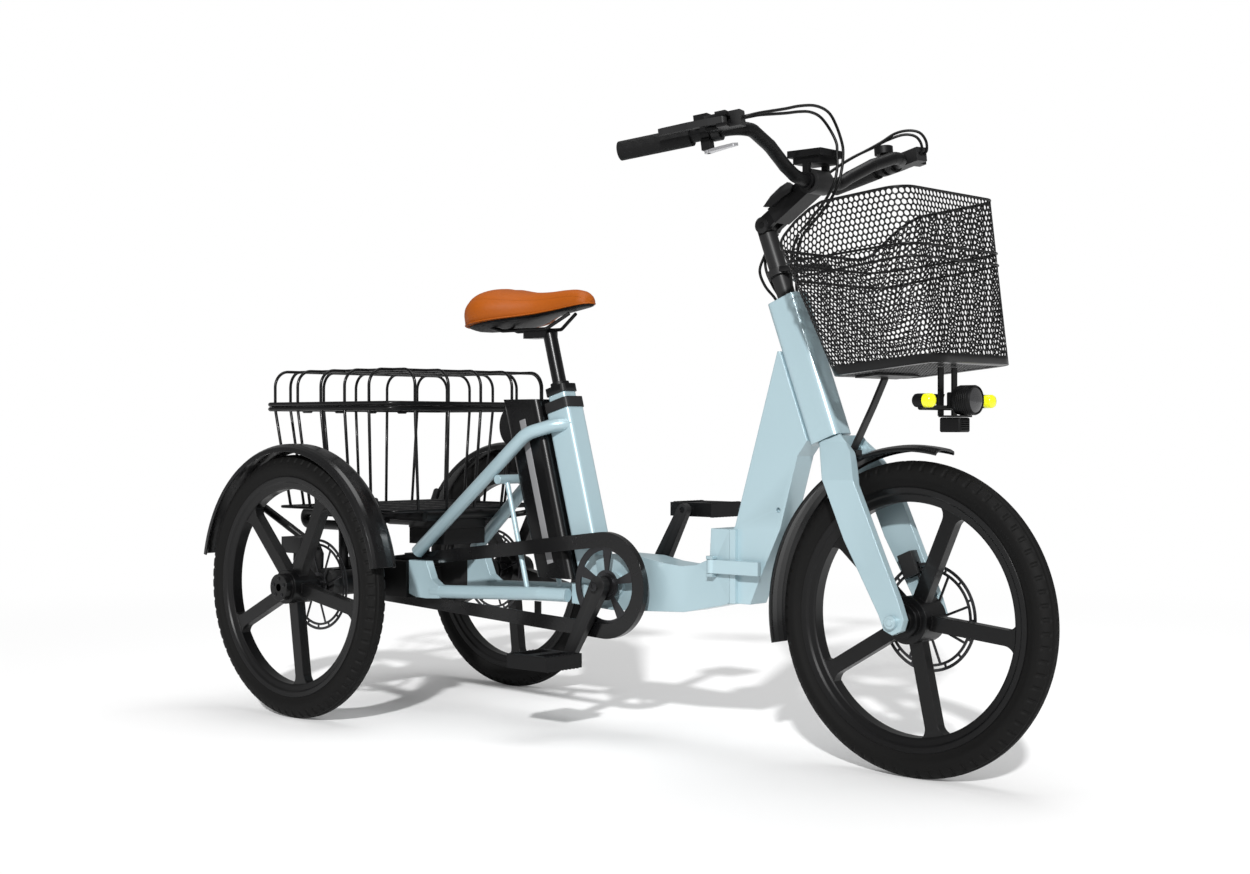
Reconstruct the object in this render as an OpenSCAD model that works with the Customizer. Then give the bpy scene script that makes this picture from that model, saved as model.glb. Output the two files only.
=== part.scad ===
// Electric cargo tricycle: one front wheel, two rear wheels, wire cargo basket with a lid, front basket.
// X points forward, Y to the rider's left, Z up. The ground is Z = 0.
// Inside the modules X is measured from the rear axle; placed() moves it to the part's own origin.

/* [Wheels] */
// Outer radius of the three tyres
wheel_r = 258; // [246:1:262]
// Width of a tyre
tyre_w = 46; // [40:1:52]
// Distance from the rear axle to the front axle
wheelbase = 1240; // [1220:5:1260]
// Distance between the middles of the two rear tyres
track = 593; // [580:1:620]
// Radius of the rim's outer lip
rim_lip_r = 216; // [212:1:218]
// Inner radius of the rim
rim_in_r = 191; // [184:1:198]
// Number of spokes in each cast wheel
spoke_n = 5; // [5:1:6]
// Thickness of a spoke across the wheel
spoke_t = 20; // [14:1:26]
// Diameter of the brake rotors
rotor_d = 180; // [160:5:180]
// Diameter of the front axle
front_axle_d = 12; // [10:0.5:14]
// Diameter of the rear half axles
rear_axle_d = 20; // [15:1:24]
// Distance from the middle of the track to a rear rotor
rear_rotor_y = 240; // [236:1:246]

/* [Frame] */
// Lean of the seat tube from the vertical, in degrees
seat_angle = 15.5; // [14:0.5:17]
// Fore and aft size of the box seat tube
seat_box_x = 60; // [56:1:64]
// Width of the box seat tube
seat_box_y = 47; // [44:1:50]
// Lean of the steering axis from the vertical, in degrees
head_angle = 20.7; // [19:0.1:22]
// Fore and aft size of the head shroud
head_box_x = 62; // [60:1:68]
// Width of the head shroud
head_box_y = 50; // [48:1:56]
// Width of the low main beam
beam_w = 64; // [56:1:68]
// Width of the down tube
down_w = 46; // [40:1:52]
// Diameter of the seat stays
seat_stay_d = 26; // [20:1:28]
// Diameter of the chain stays
chain_stay_d = 26; // [22:1:28]
// Distance from the middle plane to the rear dropouts
dropout_y = 80; // [78:1:84]

/* [Seat] */
// Diameter of the seatpost
seatpost_d = 27.2; // [25.4:0.1:30]
// Fore and aft size of the telescoping inner seat tube
inner_x = 45; // [40:1:48]
// Width of the telescoping inner seat tube
inner_y = 35; // [32:1:37]
// Length of the saddle
saddle_l = 292; // [270:2:300]
// Width of the saddle at the back
saddle_w = 200; // [180:2:220]
// Height of the top of the saddle above the ground
saddle_z = 843; // [838:1:880]

/* [Drive] */
// Teeth on the chainring
ring_teeth = 40; // [38:1:42]
// Teeth on the rear sprocket
sprocket_teeth = 18; // [16:1:18]
// Pitch of the chain
chain_pitch = 12.7; // [12.7:0.1:12.7]
// Length of a crank arm
crank_l = 154; // [150:1:165]
// Angle of the right crank below the rearward direction, in degrees
crank_angle = 62; // [50:1:75]
// Diameter of the bottom bracket spindle
spindle_d = 22; // [18:1:26]
// Distance from the middle plane to the chain
chain_y = 56; // [55:0.5:57]

/* [Cockpit] */
// Diameter of the handlebar
bar_d = 22.2; // [22:0.1:25.4]
// Diameter of a grip
grip_d = 32; // [29:1:34]
// Half of the width of the handlebar over the grips
bar_half = 300; // [290:1:310]
// Diameter of the steerer
steerer_d = 28.6; // [25.4:0.1:30]
// Diameter of a brake hose
hose_d = 5; // [4.5:0.1:5.5]

/* [Rear basket] */
// Width of the rear basket over its rim
rear_basket_w = 480; // [440:5:490]
// Length of the rear basket over its rim
rear_basket_l = 390; // [370:5:400]
// Height of the middle of the basket rim above the ground
rear_rim_z = 607; // [600:1:620]
// Depth of the rear basket from the rim to the floor wires
rear_basket_h = 200; // [190:1:205]
// Diameter of the basket's wires
wire_d = 6; // [5:0.5:7]
// Diameter of the rim wires
rim_wire_d = 9; // [8:0.5:10]
// Height of the lid's dome
lid_h = 70; // [60:1:80]

/* [Front basket] */
// Width of the front basket over its top edge
front_basket_w = 286; // [270:2:300]
// Thickness of the perforated sheet
sheet_t = 2; // [1.5:0.25:3]

/* [Fits] */
// Radial running clearance of shafts and pins
run_gap = 0.05; // [0.02:0.01:0.1]
// Gap between seated pieces
seat_gap = 0.3; // [0.2:0.05:0.4]

/* [Hidden] */
fine = 64;
round_fn = 32;

// Reach of the rear mudguards and of the front tyre, which set the origin
guard_out_r = wheel_r + 22;
guard_in_r = wheel_r + 6;
guard_rear_deg = 169;
rear_reach = guard_out_r * cos(180 - guard_rear_deg);
rear_axle_x = -(wheelbase + wheel_r - rear_reach) / 2;
// Height of the axles where the modules are drawn; placed() lifts the whole onto the ground
axle_z = 258;

// Paint and material colours
blue = [0.66, 0.76, 0.80];
black = [0.07, 0.07, 0.075];
rubber = [0.10, 0.10, 0.10];
leather = [0.70, 0.34, 0.05];
silver = [0.78, 0.78, 0.80];
yellow = [0.93, 0.93, 0.05];

// Seat tube axis: its top point, and its lean as a slope
seat_top = [449.4, 0, 602];
seat_slope = tan(seat_angle);
function seat_x(z) = seat_top[0] + (seat_top[2] - z) * seat_slope;
// Depth of the rail on its rear face that carries the battery
rail_t = 3;
// Bottom of the seat tube, where it stands on the main beam
seat_foot_z = 275;

// Steering axis: a point on it at the shroud's lower end, and its lean
head_low = [1073, 0, 549];
head_slope = tan(head_angle);
shroud_l = 258;
crown_z = 512;
function head_x(z) = head_low[0] - (z - head_low[2]) * head_slope;

// Bottom bracket and chain circles
bb = [609, 280];
ring_r = ring_teeth * chain_pitch / (2 * PI);
sprocket_r = sprocket_teeth * chain_pitch / (2 * PI);
chain_half = 3.2;
chain_w = 7;
chain_gap = 0.3;

// Fold hinge of the frame: place of its upright pin and the plane of the split
hinge_x = 879;
hinge_y = 43;
hinge_low = 262;
hinge_high = 392;
hinge_pin_d = 10;
knuckle_r = 10;
// Pivot, middle height, half height and pin of the latch that locks it
latch_p = [845, -beam_w / 2 - 8.3];
latch_z = 326;
latch_half = 12;
latch_pin_d = 6;

// Stem fold: place of its cross pin, and the middle of the bar clamp
stem_pivot = [940, 0, 919];
bar_mid = [1042, 0, 986];
stem_pin_d = 10;

// Half of the handlebar's middle line, from the clamp to the end of the grip
function bar_path(s) = [bar_mid, bar_mid + [0, 34 * s, 0], [1046, 64 * s, 989], [1046, 92 * s, 1003],
    [1056, 147 * s, 1029], [1064, 203 * s, 1047], [1062, 240 * s, 1048],
    [870, bar_half * s, 1023]];
grip_l = 128;

// Route points of the hoses, all on the rider's right of the middle plane first
hose_n = 8;
right_loop_a = [[1089.3, -259.9, 1058.5], [1098, -256, 1060], [1106, -240, 1065], [1106, -205, 1073],
    [1102, -165, 1082], [1094, -115, 1094], [1086, -62, 1102], [1080, -18, 1098], [1076, 10, 1080],
    [1080, 22, 1050], [1082, 22, 1030], [1082, 18, 1005], [1078, 12, 978], [1062, 8, 950],
    [1034, 8, 923], [1009, 8, 901.3]];
right_loop_b = [[1086.3, -250.3, 1058.5], [1094, -246, 1060], [1099, -230, 1064], [1098, -195, 1070],
    [1092, -150, 1078], [1084, -105, 1087], [1075, -62, 1093], [1069, -25, 1090], [1068, 2, 1074],
    [1078, 8, 1050], [1081, 6, 1030], [1084, 2, 1005], [1081, -4, 978], [1064, -7, 950],
    [1038, -8, 924], [1013, -8, 901.3]];
left_loop_a = [[1089.3, 259.9, 1058.5], [1097, 257, 1064], [1098, 252, 1080], [1090, 244, 1094],
    [1074, 232, 1098], [1058, 214, 1092], [1048, 185, 1074], [1040, 150, 1056], [1032, 112, 1038],
    [1022, 76, 1016], [1006, 48, 990], [980, 33, 960], [955, 26, 935], [940, 25, 918]];
left_loop_b = [[1086.3, 250.3, 1058.5], [1093, 248, 1064], [1092, 243, 1078], [1084, 236, 1088],
    [1068, 224, 1090], [1048, 204, 1080], [1036, 175, 1064], [1030, 138, 1048], [1020, 98, 1026],
    [1006, 70, 1004], [988, 54, 984], [968, 42, 958], [950, 34, 930], [938, 32, 910]];
low_hose_a = [[1007, 8, 899], [999, 8, 880], [995, 8, 850], [995, 7, 820], [998, 6, 797], [1004, 6, 781],
    [1011, 6, 762]];
low_hose_b = [[1011, -8, 899], [1001, -8, 880], [995, -8, 850], [995, -7, 820], [998, -6, 797],
    [1004, -6, 781], [1011, -6, 762]];
low_hose_c = [[938.8, 25, 916.2], [927, 22, 892], [922, 15, 868], [928, 10, 842], [944, 8, 815], [962, 7, 791],
    [968, 7, 775], [975, 7, 757]];
low_hose_d = [[936.8, 32, 908.2], [922, 28, 890], [914, 21, 868], [918, 4, 842], [936, -4, 815], [961, -7, 791],
    [968, -7, 775], [975, -7, 757]];

module placed() {
    translate([rear_axle_x, 0, wheel_r - axle_z]) children();
}
// A straight round rod between two points
module rod(a, b, d) {
    v = b - a;
    l = norm(v);
    translate(a) rotate([0, acos(v[2] / l), atan2(v[1], v[0])]) cylinder(d = d, h = l, $fn = round_fn);
}
// A round tube through a list of points, with a round elbow of radius r at each inner one
weld = 0.4;
function unit(v) = v / norm(v);
function half_turn(p, i) = acos(unit(p[i] - p[i - 1]) * unit(p[i + 1] - p[i])) / 2;
function cut_back(p, i, r) = i == 0 || i == len(p) - 1 ? 0 : r * tan(half_turn(p, i));
module bent_tube(p, d, r) {
    for (i = [0 : len(p) - 2]) {
        v = unit(p[i + 1] - p[i]);
        rod(p[i] + v * max(cut_back(p, i, r) - 1, 0), p[i + 1] - v * max(cut_back(p, i + 1, r) - 1, 0), d);
    }
    for (i = [1 : len(p) - 2]) {
        y = unit(p[i] - p[i - 1]);
        w = unit(p[i + 1] - p[i]);
        x = -unit(w - (w * y) * y);
        z = cross(x, y);
        c = p[i] - y * cut_back(p, i, r) - x * r;
        multmatrix([[x[0], y[0], z[0], c[0]], [x[1], y[1], z[1], c[1]], [x[2], y[2], z[2], c[2]], [0, 0, 0, 1]])
            rotate_extrude(angle = 2 * half_turn(p, i), $fn = fine) translate([r, 0]) circle(d = d + weld, $fn = round_fn);
    }
}
// A flat outline in the X-Z plane, made thick along Y from y0 to y1
module side_plate(y0, y1) {
    translate([0, y1, 0]) rotate([90, 0, 0]) linear_extrude(y1 - y0) children();
}
// A cylinder along Y from y0 to y1 at the point p of the X-Z plane
module cross_cylinder(p, y0, y1, d, fn = fine) {
    translate([p[0], y1, p[1]]) rotate([90, 0, 0]) cylinder(d = d, h = y1 - y0, $fn = fn);
}
// A block given by its two corners
module block(a, b) {
    translate(a) cube(b - a);
}
// A rectangle with round corners, centred
module round_rect(x, y, r) {
    union() {
        square([x - 2 * r, y], center = true);
        square([x, y - 2 * r], center = true);
        for (i = [-1, 1], j = [-1, 1]) translate([i * (x / 2 - r), j * (y / 2 - r)]) circle(r, $fn = round_fn);
    }
}
// Moves to the top of the seat tube, with Z along the tube
module seat_axis() {
    translate(seat_top) rotate([0, -seat_angle, 0]) children();
}
// Moves to the low end of the head shroud, with Z along the steering axis
module head_axis() {
    translate(head_low) rotate([0, -head_angle, 0]) children();
}
// The outline of a belt round two circles: the chainring's and the sprocket's
module belt(r1, r2) {
    c1 = bb;
    c2 = [0, axle_z];
    d = c1 - c2;
    l = norm(d);
    a = atan2(d[1], d[0]);
    b = acos((r2 - r1) / l);
    up = [cos(a + b), sin(a + b)];
    dn = [cos(a - b), sin(a - b)];
    translate(c1) circle(r1, $fn = fine * 2);
    translate(c2) circle(r2, $fn = fine * 2);
    polygon([c1 + r1 * up, c2 + r2 * up, c2 + r2 * dn, c1 + r1 * dn]);
}

// Rear frame

module seat_tube() {
    foot = (seat_top[2] - seat_foot_z) / cos(seat_angle);
    color(blue) placed() difference() {
        union() {
            seat_axis() translate([0, 0, -foot - 20]) linear_extrude(foot + 20) round_rect(seat_box_x, seat_box_y, 8);
            seat_axis() translate([-seat_box_x / 2 - rail_t, -12, -280]) cube([rail_t + 4, 24, 240]);
        }
        seat_axis() translate([0, 0, -260]) linear_extrude(270) square([inner_x + 2 * seat_gap, inner_y + 2 * seat_gap], center = true);
        block([380, -60, seat_foot_z - 80], [640, 60, seat_foot_z]);
    }
}
module lower_seat_collar() {
    color(black) placed() seat_axis() translate([0, 0, 0.2]) difference() {
        linear_extrude(20) round_rect(seat_box_x + 4, seat_box_y + 4, 9);
        translate([0, 0, -1]) linear_extrude(30) square([inner_x + 2 * seat_gap, inner_y + 2 * seat_gap], center = true);
    }
}
// One seat stay: from the side of the seat tube, round the battery and down to the dropout
module seat_stay(s) {
    top_y = seat_box_y / 2 + seat_stay_d / 2 + 0.1;
    bent_tube([[478, top_y * s, 576], [462, (top_y + 0.6) * s, 575], [404, 59.5 * s, 558], [112, dropout_y * s, 318]],
        seat_stay_d, 60);
}
module right_seat_stay() {
    color(blue) placed() seat_stay(-1);
}
module left_seat_stay() {
    color(blue) placed() seat_stay(1);
}
// One chain stay with the dropout plate at its rear end
module chain_stay(s) {
    y0 = dropout_y - 9;
    y1 = dropout_y + 9;
    bent_tube([[500, (beam_w / 2 + chain_stay_d / 2 + seat_gap) * s, 254], [440, 58 * s, 254], [184, (dropout_y - 2) * s, 244], [160, (dropout_y - 2) * s, 244]], chain_stay_d, 40);
    side_plate(s < 0 ? -y1 : y0, s < 0 ? -y0 : y1)
        polygon([[98, 303], [118, 303], [150, 303], [166, 268], [186, 256], [186, 231], [150, 229], [120, 230], [98, 236]]);
}
module right_chain_stay() {
    color(blue) placed() chain_stay(-1);
}
module left_chain_stay() {
    color(blue) placed() chain_stay(1);
}
// The cross tube between the seat stays and the two thin struts that stand on the chain stays
module stay_bridges() {
    color(blue) placed() {
        rod([330.2, -66, 468.9], [330.2, 66, 468.9], 18);
        for (s = [-1, 1]) rod([336, 44 * s, 462], [392, 45 * s, 258.9], 10);
    }
}
// The low box beam with the bottom bracket shell and the rear half of the fold hinge
module main_beam() {
    half = beam_w / 2;
    color(blue) placed() difference() {
        union() {
            side_plate(-half, half) polygon([[498, 238], [498, seat_foot_z - 0.2], [571.6, seat_foot_z - 0.2],
                [556.5, 330], [600, 336], [674, 334], [720, 326], [770, 322], [805, 326], [835, 338],
                [838, hinge_high], [hinge_x - 0.3, hinge_high], [hinge_x - 0.3, hinge_low], [860, 257],
                [775, 240], [690, 236], [600, 232]]);
            cross_cylinder(bb, -half - 5, half + 5, 46);
            for (z = [[hinge_low, hinge_low + 38], [hinge_high - 38, hinge_high]]) {
                translate([hinge_x, hinge_y, z[0]]) cylinder(r = knuckle_r, h = z[1] - z[0], $fn = fine);
                block([hinge_x - 24, half - 4, z[0]], [hinge_x - 4, hinge_y, z[1]]);
            }
            translate([hinge_x, hinge_y, hinge_low]) cylinder(d = hinge_pin_d, h = hinge_high - hinge_low, $fn = fine);
            // Ears and pin of the latch
            for (z = [latch_z - latch_half - 6.3, latch_z + latch_half + 0.3])
                block([latch_p[0] - 7, latch_p[1] - 6, z], [latch_p[0] + 7, 0, z + 6]);
            translate([latch_p[0], latch_p[1], latch_z - latch_half - 6]) cylinder(d = latch_pin_d, h = 2 * latch_half + 12, $fn = fine);
        }
        cross_cylinder(bb, -half - 10, half + 10, spindle_d + 2 * run_gap);
        for (y = [-half - 1, half - 7]) translate([hinge_x - 3, y, hinge_low - 1]) cube([8, 8, 2]);
    }
}
// The black beam that carries the rear axle, with its bearing housings and brackets
module axle_carrier() {
    bore = rear_axle_d + 2 * run_gap;
    inner = dropout_y - 9;
    housing_end = 226;
    color(black) placed() difference() {
        union() {
            for (s = [-1, 1]) {
                block([-100, s < 0 ? -inner - 24 : inner, 228], [97.5, s < 0 ? -inner : inner + 24, 300]);
                cross_cylinder([0, axle_z], s < 0 ? -housing_end : inner + 20, s < 0 ? -inner - 20 : housing_end, 50);
                cross_cylinder([0, axle_z], s < 0 ? -housing_end : housing_end - 14, s < 0 ? -housing_end + 14 : housing_end, 62);
                // Plate that holds the brake caliper above and behind the axle
                side_plate(s < 0 ? -housing_end : housing_end - 6, s < 0 ? -housing_end + 6 : housing_end)
                    polygon([[-10, 280], [-40, 262], [-100, 300], [-96, 352], [-30, 352], [-8, 318]]);
            }
            block([-100, -housing_end, 240], [-60, housing_end, 280]);
            block([-60.5, -38, 238], [30, 60, 278]);
        }
        cross_cylinder([0, axle_z], -housing_end - 1, -inner + 1, bore);
        cross_cylinder([0, axle_z], inner - 1, housing_end + 1, bore);
        cross_cylinder([0, axle_z], -40, 30, bore);
    }
}
// Bent black tubes under the basket and the stays of the rear mudguards
module basket_rack() {
    tube = 20;
    z_top = floor_z - wire_d / 2 - seat_gap - tube / 2;
    color(black) placed() {
        for (s = [-1, 1]) {
            bent_tube([[176, 112 * s, z_top], [-206, 112 * s, z_top], [-206, 112 * s, z_top - 27],
                [-80, 112 * s, z_top - 27], [-80, 112 * s, 280.3]], tube, 13);
            bent_tube([[-80, 180 * s, 282], [-80, 190 * s, 330], [-120, 218 * s, 366], [-186, 232 * s, 404],
                [-209.8, 262.5 * s, 424.7]], 16, 20);
            bent_tube([[60, 112 * s, 384], [60, 150 * s, 374], [120, 215 * s, 388], [176, 234 * s, 404], [200, 262.3 * s, 431]], 12, 20);
        }
        rod([168.2, -112, z_top], [168.2, 112, z_top], tube - 1);
        rod([-150, -112, z_top], [-150, 112, z_top], tube - 1);
        rod([40, -112, z_top], [40, 112, z_top], 14);
        block([60, -56, 366], [168, 56, z_top - 5]);
    }
}
// One arched mudguard, a thin shell turned round the wheel's axle
module guard_shell(y, w, a0, a1) {
    t = 2.5;
    h = w / 2;
    r0 = guard_in_r;
    r1 = guard_out_r;
    translate([0, y, axle_z]) rotate([90, 0, 0]) rotate([0, 0, a0]) rotate_extrude(angle = a1 - a0, $fn = 128)
        polygon([[r0, -h], [r0 + 9, -h + 1], [r1 - 3, -h + 7], [r1 - 0.6, -h + 14], [r1, 0], [r1 - 0.6, h - 14],
            [r1 - 3, h - 7], [r0 + 9, h - 1], [r0, h], [r0, h - t], [r0 + 8, h - t - 1], [r1 - 3 - t, h - 7 - t],
            [r1 - 0.6 - t, h - 14], [r1 - t, 0], [r1 - 0.6 - t, -h + 14], [r1 - 3 - t, -h + 7 + t], [r0 + 8, -h + t + 1], [r0, -h + t]]);
}
module rear_mudguards() {
    color(black) placed() for (s = [-1, 1]) guard_shell(s * track / 2, 58, 10.5, guard_rear_deg);
}

// Rear basket

// Corners of the basket: its rim, and the smaller floor
rim_x0 = -176;
rim_x1 = rim_x0 + rear_basket_l;
floor_z = rear_rim_z - rear_basket_h;
floor_x0 = -158;
floor_x1 = 188;
floor_half = 205;
module rear_basket_floor() {
    n = 9;
    color(black) placed() {
        for (s = [-1, 1]) {
            rod([floor_x0, floor_half * s, floor_z], [floor_x1, floor_half * s, floor_z], wire_d);
            rod([s < 0 ? floor_x0 : floor_x1, -floor_half, floor_z], [s < 0 ? floor_x0 : floor_x1, floor_half, floor_z], wire_d);
        }
        for (i = [1 : n - 1]) {
            x = floor_x0 + (floor_x1 - floor_x0) * i / n;
            rod([x, -floor_half, floor_z], [x, floor_half, floor_z], wire_d);
        }
        for (i = [1 : 4]) {
            y = -floor_half + 2 * floor_half * i / 5;
            rod([floor_x0, y, floor_z], [floor_x1, y, floor_z], wire_d);
        }
    }
}
// Places of the upright wires: five along each side and five along each end
side_wire_x = [-146, -72, 2, 76, 150];
end_wire_y = [-174, -87, 0, 87, 174];
function side_foot_x(x) = floor_x0 + 6 + (x - rim_x0) * (floor_x1 - floor_x0 - 12) / rear_basket_l;
module rear_basket_sides() {
    half = rear_basket_w / 2 - rim_wire_d / 2;
    foot = floor_half + wire_d / 2 + 0.8;
    color(black) placed() for (s = [-1, 1]) {
        rod([rim_x0 + rim_wire_d / 2 + seat_gap, half * s, rear_rim_z], [rim_x1 - rim_wire_d / 2 - seat_gap, half * s, rear_rim_z], rim_wire_d);
        for (x = side_wire_x) rod([x, half * s, rear_rim_z], [side_foot_x(x), (foot + 2.4) * s, floor_z], wire_d);
        rod([floor_x0 - 3, (foot + 2.4) * s, floor_z], [floor_x1 + 3, (foot + 2.4) * s, floor_z], wire_d + 0.4);
    }
}
module rear_basket_ends() {
    half = rear_basket_w / 2 - rim_wire_d / 2;
    foot = floor_half - 4;
    color(black) placed() for (e = [0, 1]) {
        x = e == 0 ? rim_x0 : rim_x1;
        fx = e == 0 ? floor_x0 - 6.4 : floor_x1 + 6.4;
        rod([x, -half - rim_wire_d / 2, rear_rim_z], [x, half + rim_wire_d / 2, rear_rim_z], rim_wire_d);
        for (y = end_wire_y) rod([x, y, rear_rim_z], [fx, y * foot / half, floor_z], wire_d);
        rod([fx, -foot, floor_z], [fx, foot, floor_z], wire_d);
    }
}
// One wire of the lid, bent down at both ends by quarter circles; it runs along local X from a to b
module lid_wire(a, b, r, h, d) {
    translate([0, 0, 0]) {
        rod([a + r, 0, h], [b - r, 0, h], d);
        translate([a + r, 0, h - r]) rotate([90, 0, 0]) rotate([0, 0, 90]) rotate_extrude(angle = 90, $fn = fine) translate([r, 0]) circle(d = d, $fn = 16);
        translate([b - r, 0, h - r]) rotate([90, 0, 0]) rotate_extrude(angle = 90, $fn = fine) translate([r, 0]) circle(d = d, $fn = 16);
    }
}
// The domed lid: a rim, five wires across, five wires along, and its two hinge eyes at the back
lid_rim_z = rear_rim_z + rim_wire_d + seat_gap;
lid_eye_y = [-130, -44, 44, 130];
module basket_lid() {
    half = rear_basket_w / 2 - rim_wire_d / 2;
    x0 = rim_x0;
    x1 = rim_x1;
    r = lid_h - wire_d / 2;
    color(black) placed() {
        for (y = lid_eye_y) difference() {
            cross_cylinder([rim_x0, rear_rim_z], y - 9, y + 9, rim_wire_d + 6);
            cross_cylinder([rim_x0, rear_rim_z], y - 10, y + 10, rim_wire_d + 2 * run_gap);
        }
        for (s = [-1, 1]) rod([x0, half * s, lid_rim_z], [x1, half * s, lid_rim_z], rim_wire_d);
        for (x = [x0, x1]) rod([x, -half, lid_rim_z], [x, half, lid_rim_z], rim_wire_d);
        for (x = side_wire_x) translate([x, 0, lid_rim_z]) rotate([0, 0, 90]) lid_wire(-half, half, r, r, wire_d);
        for (y = end_wire_y) translate([0, y, lid_rim_z]) lid_wire(x0, x1, 56, r, wire_d);
        for (y = end_wire_y) for (x = [x0, x1]) rod([x, y, lid_rim_z], [x, y, lid_rim_z + r - 56], wire_d);
    }
}
module controller_box() {
    color(black) placed() {
        block([62, -56, 334], [166, 56, 365.7]);
    }
}

// Drive

module chain_guard() {
    out = chain_y + 8;
    color(black) placed() {
        side_plate(-out, -out + 3) difference() {
            belt(98, 46);
            belt(70, 22);
        }
        side_plate(-out + 2.9, -out + 13) difference() {
            belt(98, 46);
            belt(95.5, 43.5);
        }
        // Two tabs that fasten the guard: to the chain stay and to the dropout
        block([430, -out, 205], [446, -out + 3, 240]);
        cross_cylinder([125, 299.5], -dropout_y + 9 + seat_gap, -out + 0.1, 7);
    }
}
module drive_chain() {
    color(silver * 0.4) placed() side_plate(-chain_y - chain_w / 2, -chain_y + chain_w / 2) difference() {
        belt(ring_r + chain_half, sprocket_r + chain_half);
        belt(ring_r - chain_half, sprocket_r - chain_half);
    }
}
module chainring() {
    r = ring_r - chain_half - chain_gap;
    arms = 5;
    color(black) placed() difference() {
        union() {
            cross_cylinder(bb, -chain_y - 1.5, -chain_y + 1.5, 2 * r);
            cross_cylinder(bb, -chain_y - 5, -chain_y + 5, 44);
        }
        cross_cylinder(bb, -chain_y - 8, -chain_y + 8, spindle_d);
        for (i = [0 : arms - 1]) translate([bb[0], 0, bb[1]]) rotate([0, 360 / arms * i + 20, 0])
            side_plate(-chain_y - 3, -chain_y + 3) intersection() {
                difference() {
                    circle(r - 13, $fn = fine);
                    circle(28, $fn = fine);
                }
                polygon([[0, 0], [90, 46], [90, -46]]);
            }
    }
}
// Right and left crank arms with the spindle that joins them
function crank_tip(s, l) = [bb[0] + s * l * cos(crank_angle), bb[1] + s * l * sin(crank_angle)];
crank_out_y = chain_y + 30;
module crank_arms() {
    color(black) placed() difference() {
        union() {
            cross_cylinder(bb, -chain_y - 12, chain_y + 12, spindle_d);
            for (s = [-1, 1]) {
                tip = crank_tip(s, crank_l);
                y0 = crank_out_y - 20;
                hull() {
                    cross_cylinder(bb, s < 0 ? -crank_out_y + 4 : y0, s < 0 ? -y0 : crank_out_y - 4, 36, round_fn);
                    cross_cylinder(tip, s < 0 ? -crank_out_y : y0 + 7, s < 0 ? -y0 - 7 : crank_out_y, 24, round_fn);
                }
            }
        }
        for (s = [-1, 1]) cross_cylinder(crank_tip(s, crank_l), s < 0 ? -crank_out_y - 2 : crank_out_y - 20, s < 0 ? -crank_out_y + 20 : crank_out_y + 2, 12 + 2 * run_gap);
    }
}
// A platform pedal with its axle, turned level
module pedal(s) {
    tip = crank_tip(s, crank_l);
    y0 = crank_out_y + 12;
    y1 = y0 + 94;
    a = s < 0 ? -y1 : y0;
    b = s < 0 ? -y0 : y1;
    cross_cylinder(tip, s < 0 ? -y0 - 8 : crank_out_y - 12, s < 0 ? -crank_out_y + 12 : y0 + 8, 12);
    difference() {
        translate([tip[0], 0, tip[1]]) union() {
            block([-50, a, -13], [50, b, 13]);
        }
        for (i = [-1, 1]) translate([tip[0] + i * 27, 0, tip[1]]) block([-15, a + 12, -20], [15, b - 12, 20]);
    }
}
module right_pedal() {
    color(black) placed() pedal(-1);
}
module left_pedal() {
    color(black) placed() pedal(1);
}
module rear_sprocket() {
    r = sprocket_r - chain_half - chain_gap;
    color(silver * 0.5) placed() {
        cross_cylinder([0, axle_z], -chain_y - 1.5, -chain_y + 1.5, 2 * r);
        cross_cylinder([0, axle_z], -chain_y - 4, 29, rear_axle_d);
        cross_cylinder([0, axle_z], -chain_y + 1, -39, 34);
    }
}
module rear_calipers() {
    color(black) placed() for (s = [-1, 1]) difference() {
        block([-96, s < 0 ? -258 : 226.3, 318], [-36, s < 0 ? -226.3 : 258, 350]);
        block([-100, s < 0 ? -rear_rotor_y - 3.2 : rear_rotor_y - 3.2, 300], [-20, s < 0 ? -rear_rotor_y + 3.2 : rear_rotor_y + 3.2, 344]);
    }
}

// Wheels

module tyre(x, y) {
    translate([x, y, axle_z]) rotate([90, 0, 0]) rotate_extrude($fn = 128) difference() {
        translate([wheel_r - tyre_w / 2, 0]) circle(d = tyre_w, $fn = fine);
        square([2 * (rim_lip_r - 3), 34], center = true);
    }
}
// One spoke along local X, flared where it meets the hub and the rim
module spoke_2d(hub_r) {
    flare = 20;
    root = 9;
    waist = 12.5;
    r1 = rim_in_r + 2;
    translate([0, -waist]) square([r1, 2 * waist]);
    difference() {
        translate([r1 - flare, -waist - flare]) square([flare, 2 * (waist + flare)]);
        for (s = [-1, 1]) translate([r1 - flare, s * (waist + flare)]) circle(flare, $fn = fine);
    }
    difference() {
        translate([0, -waist - root]) square([hub_r + root, 2 * (waist + root)]);
        for (s = [-1, 1]) translate([hub_r + root, s * (waist + root)]) circle(root, $fn = round_fn);
    }
}
module wheel_rim() {
    rotate_extrude($fn = 128) polygon([[rim_in_r, -11], [rim_in_r + 3, -13], [rim_in_r + 12, -14.5],
        [rim_in_r + 15, -17.5], [rim_lip_r - 1, -18.6], [rim_lip_r, -17], [rim_lip_r - 3.5, -16.4],
        [rim_lip_r - 3.5, 16.4], [rim_lip_r, 17], [rim_lip_r - 1, 18.6], [rim_in_r + 15, 17.5],
        [rim_in_r + 12, 14.5], [rim_in_r + 3, 13], [rim_in_r, 11]]);
}
module wheel_web(hub_r, phase) {
    rotate([0, 0, phase + 180 / spoke_n]) wheel_rim();
    for (i = [0 : spoke_n - 1]) rotate([0, 0, phase + 360 / spoke_n * i]) translate([0, 0, -spoke_t / 2]) linear_extrude(spoke_t) spoke_2d(hub_r);
}
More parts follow.
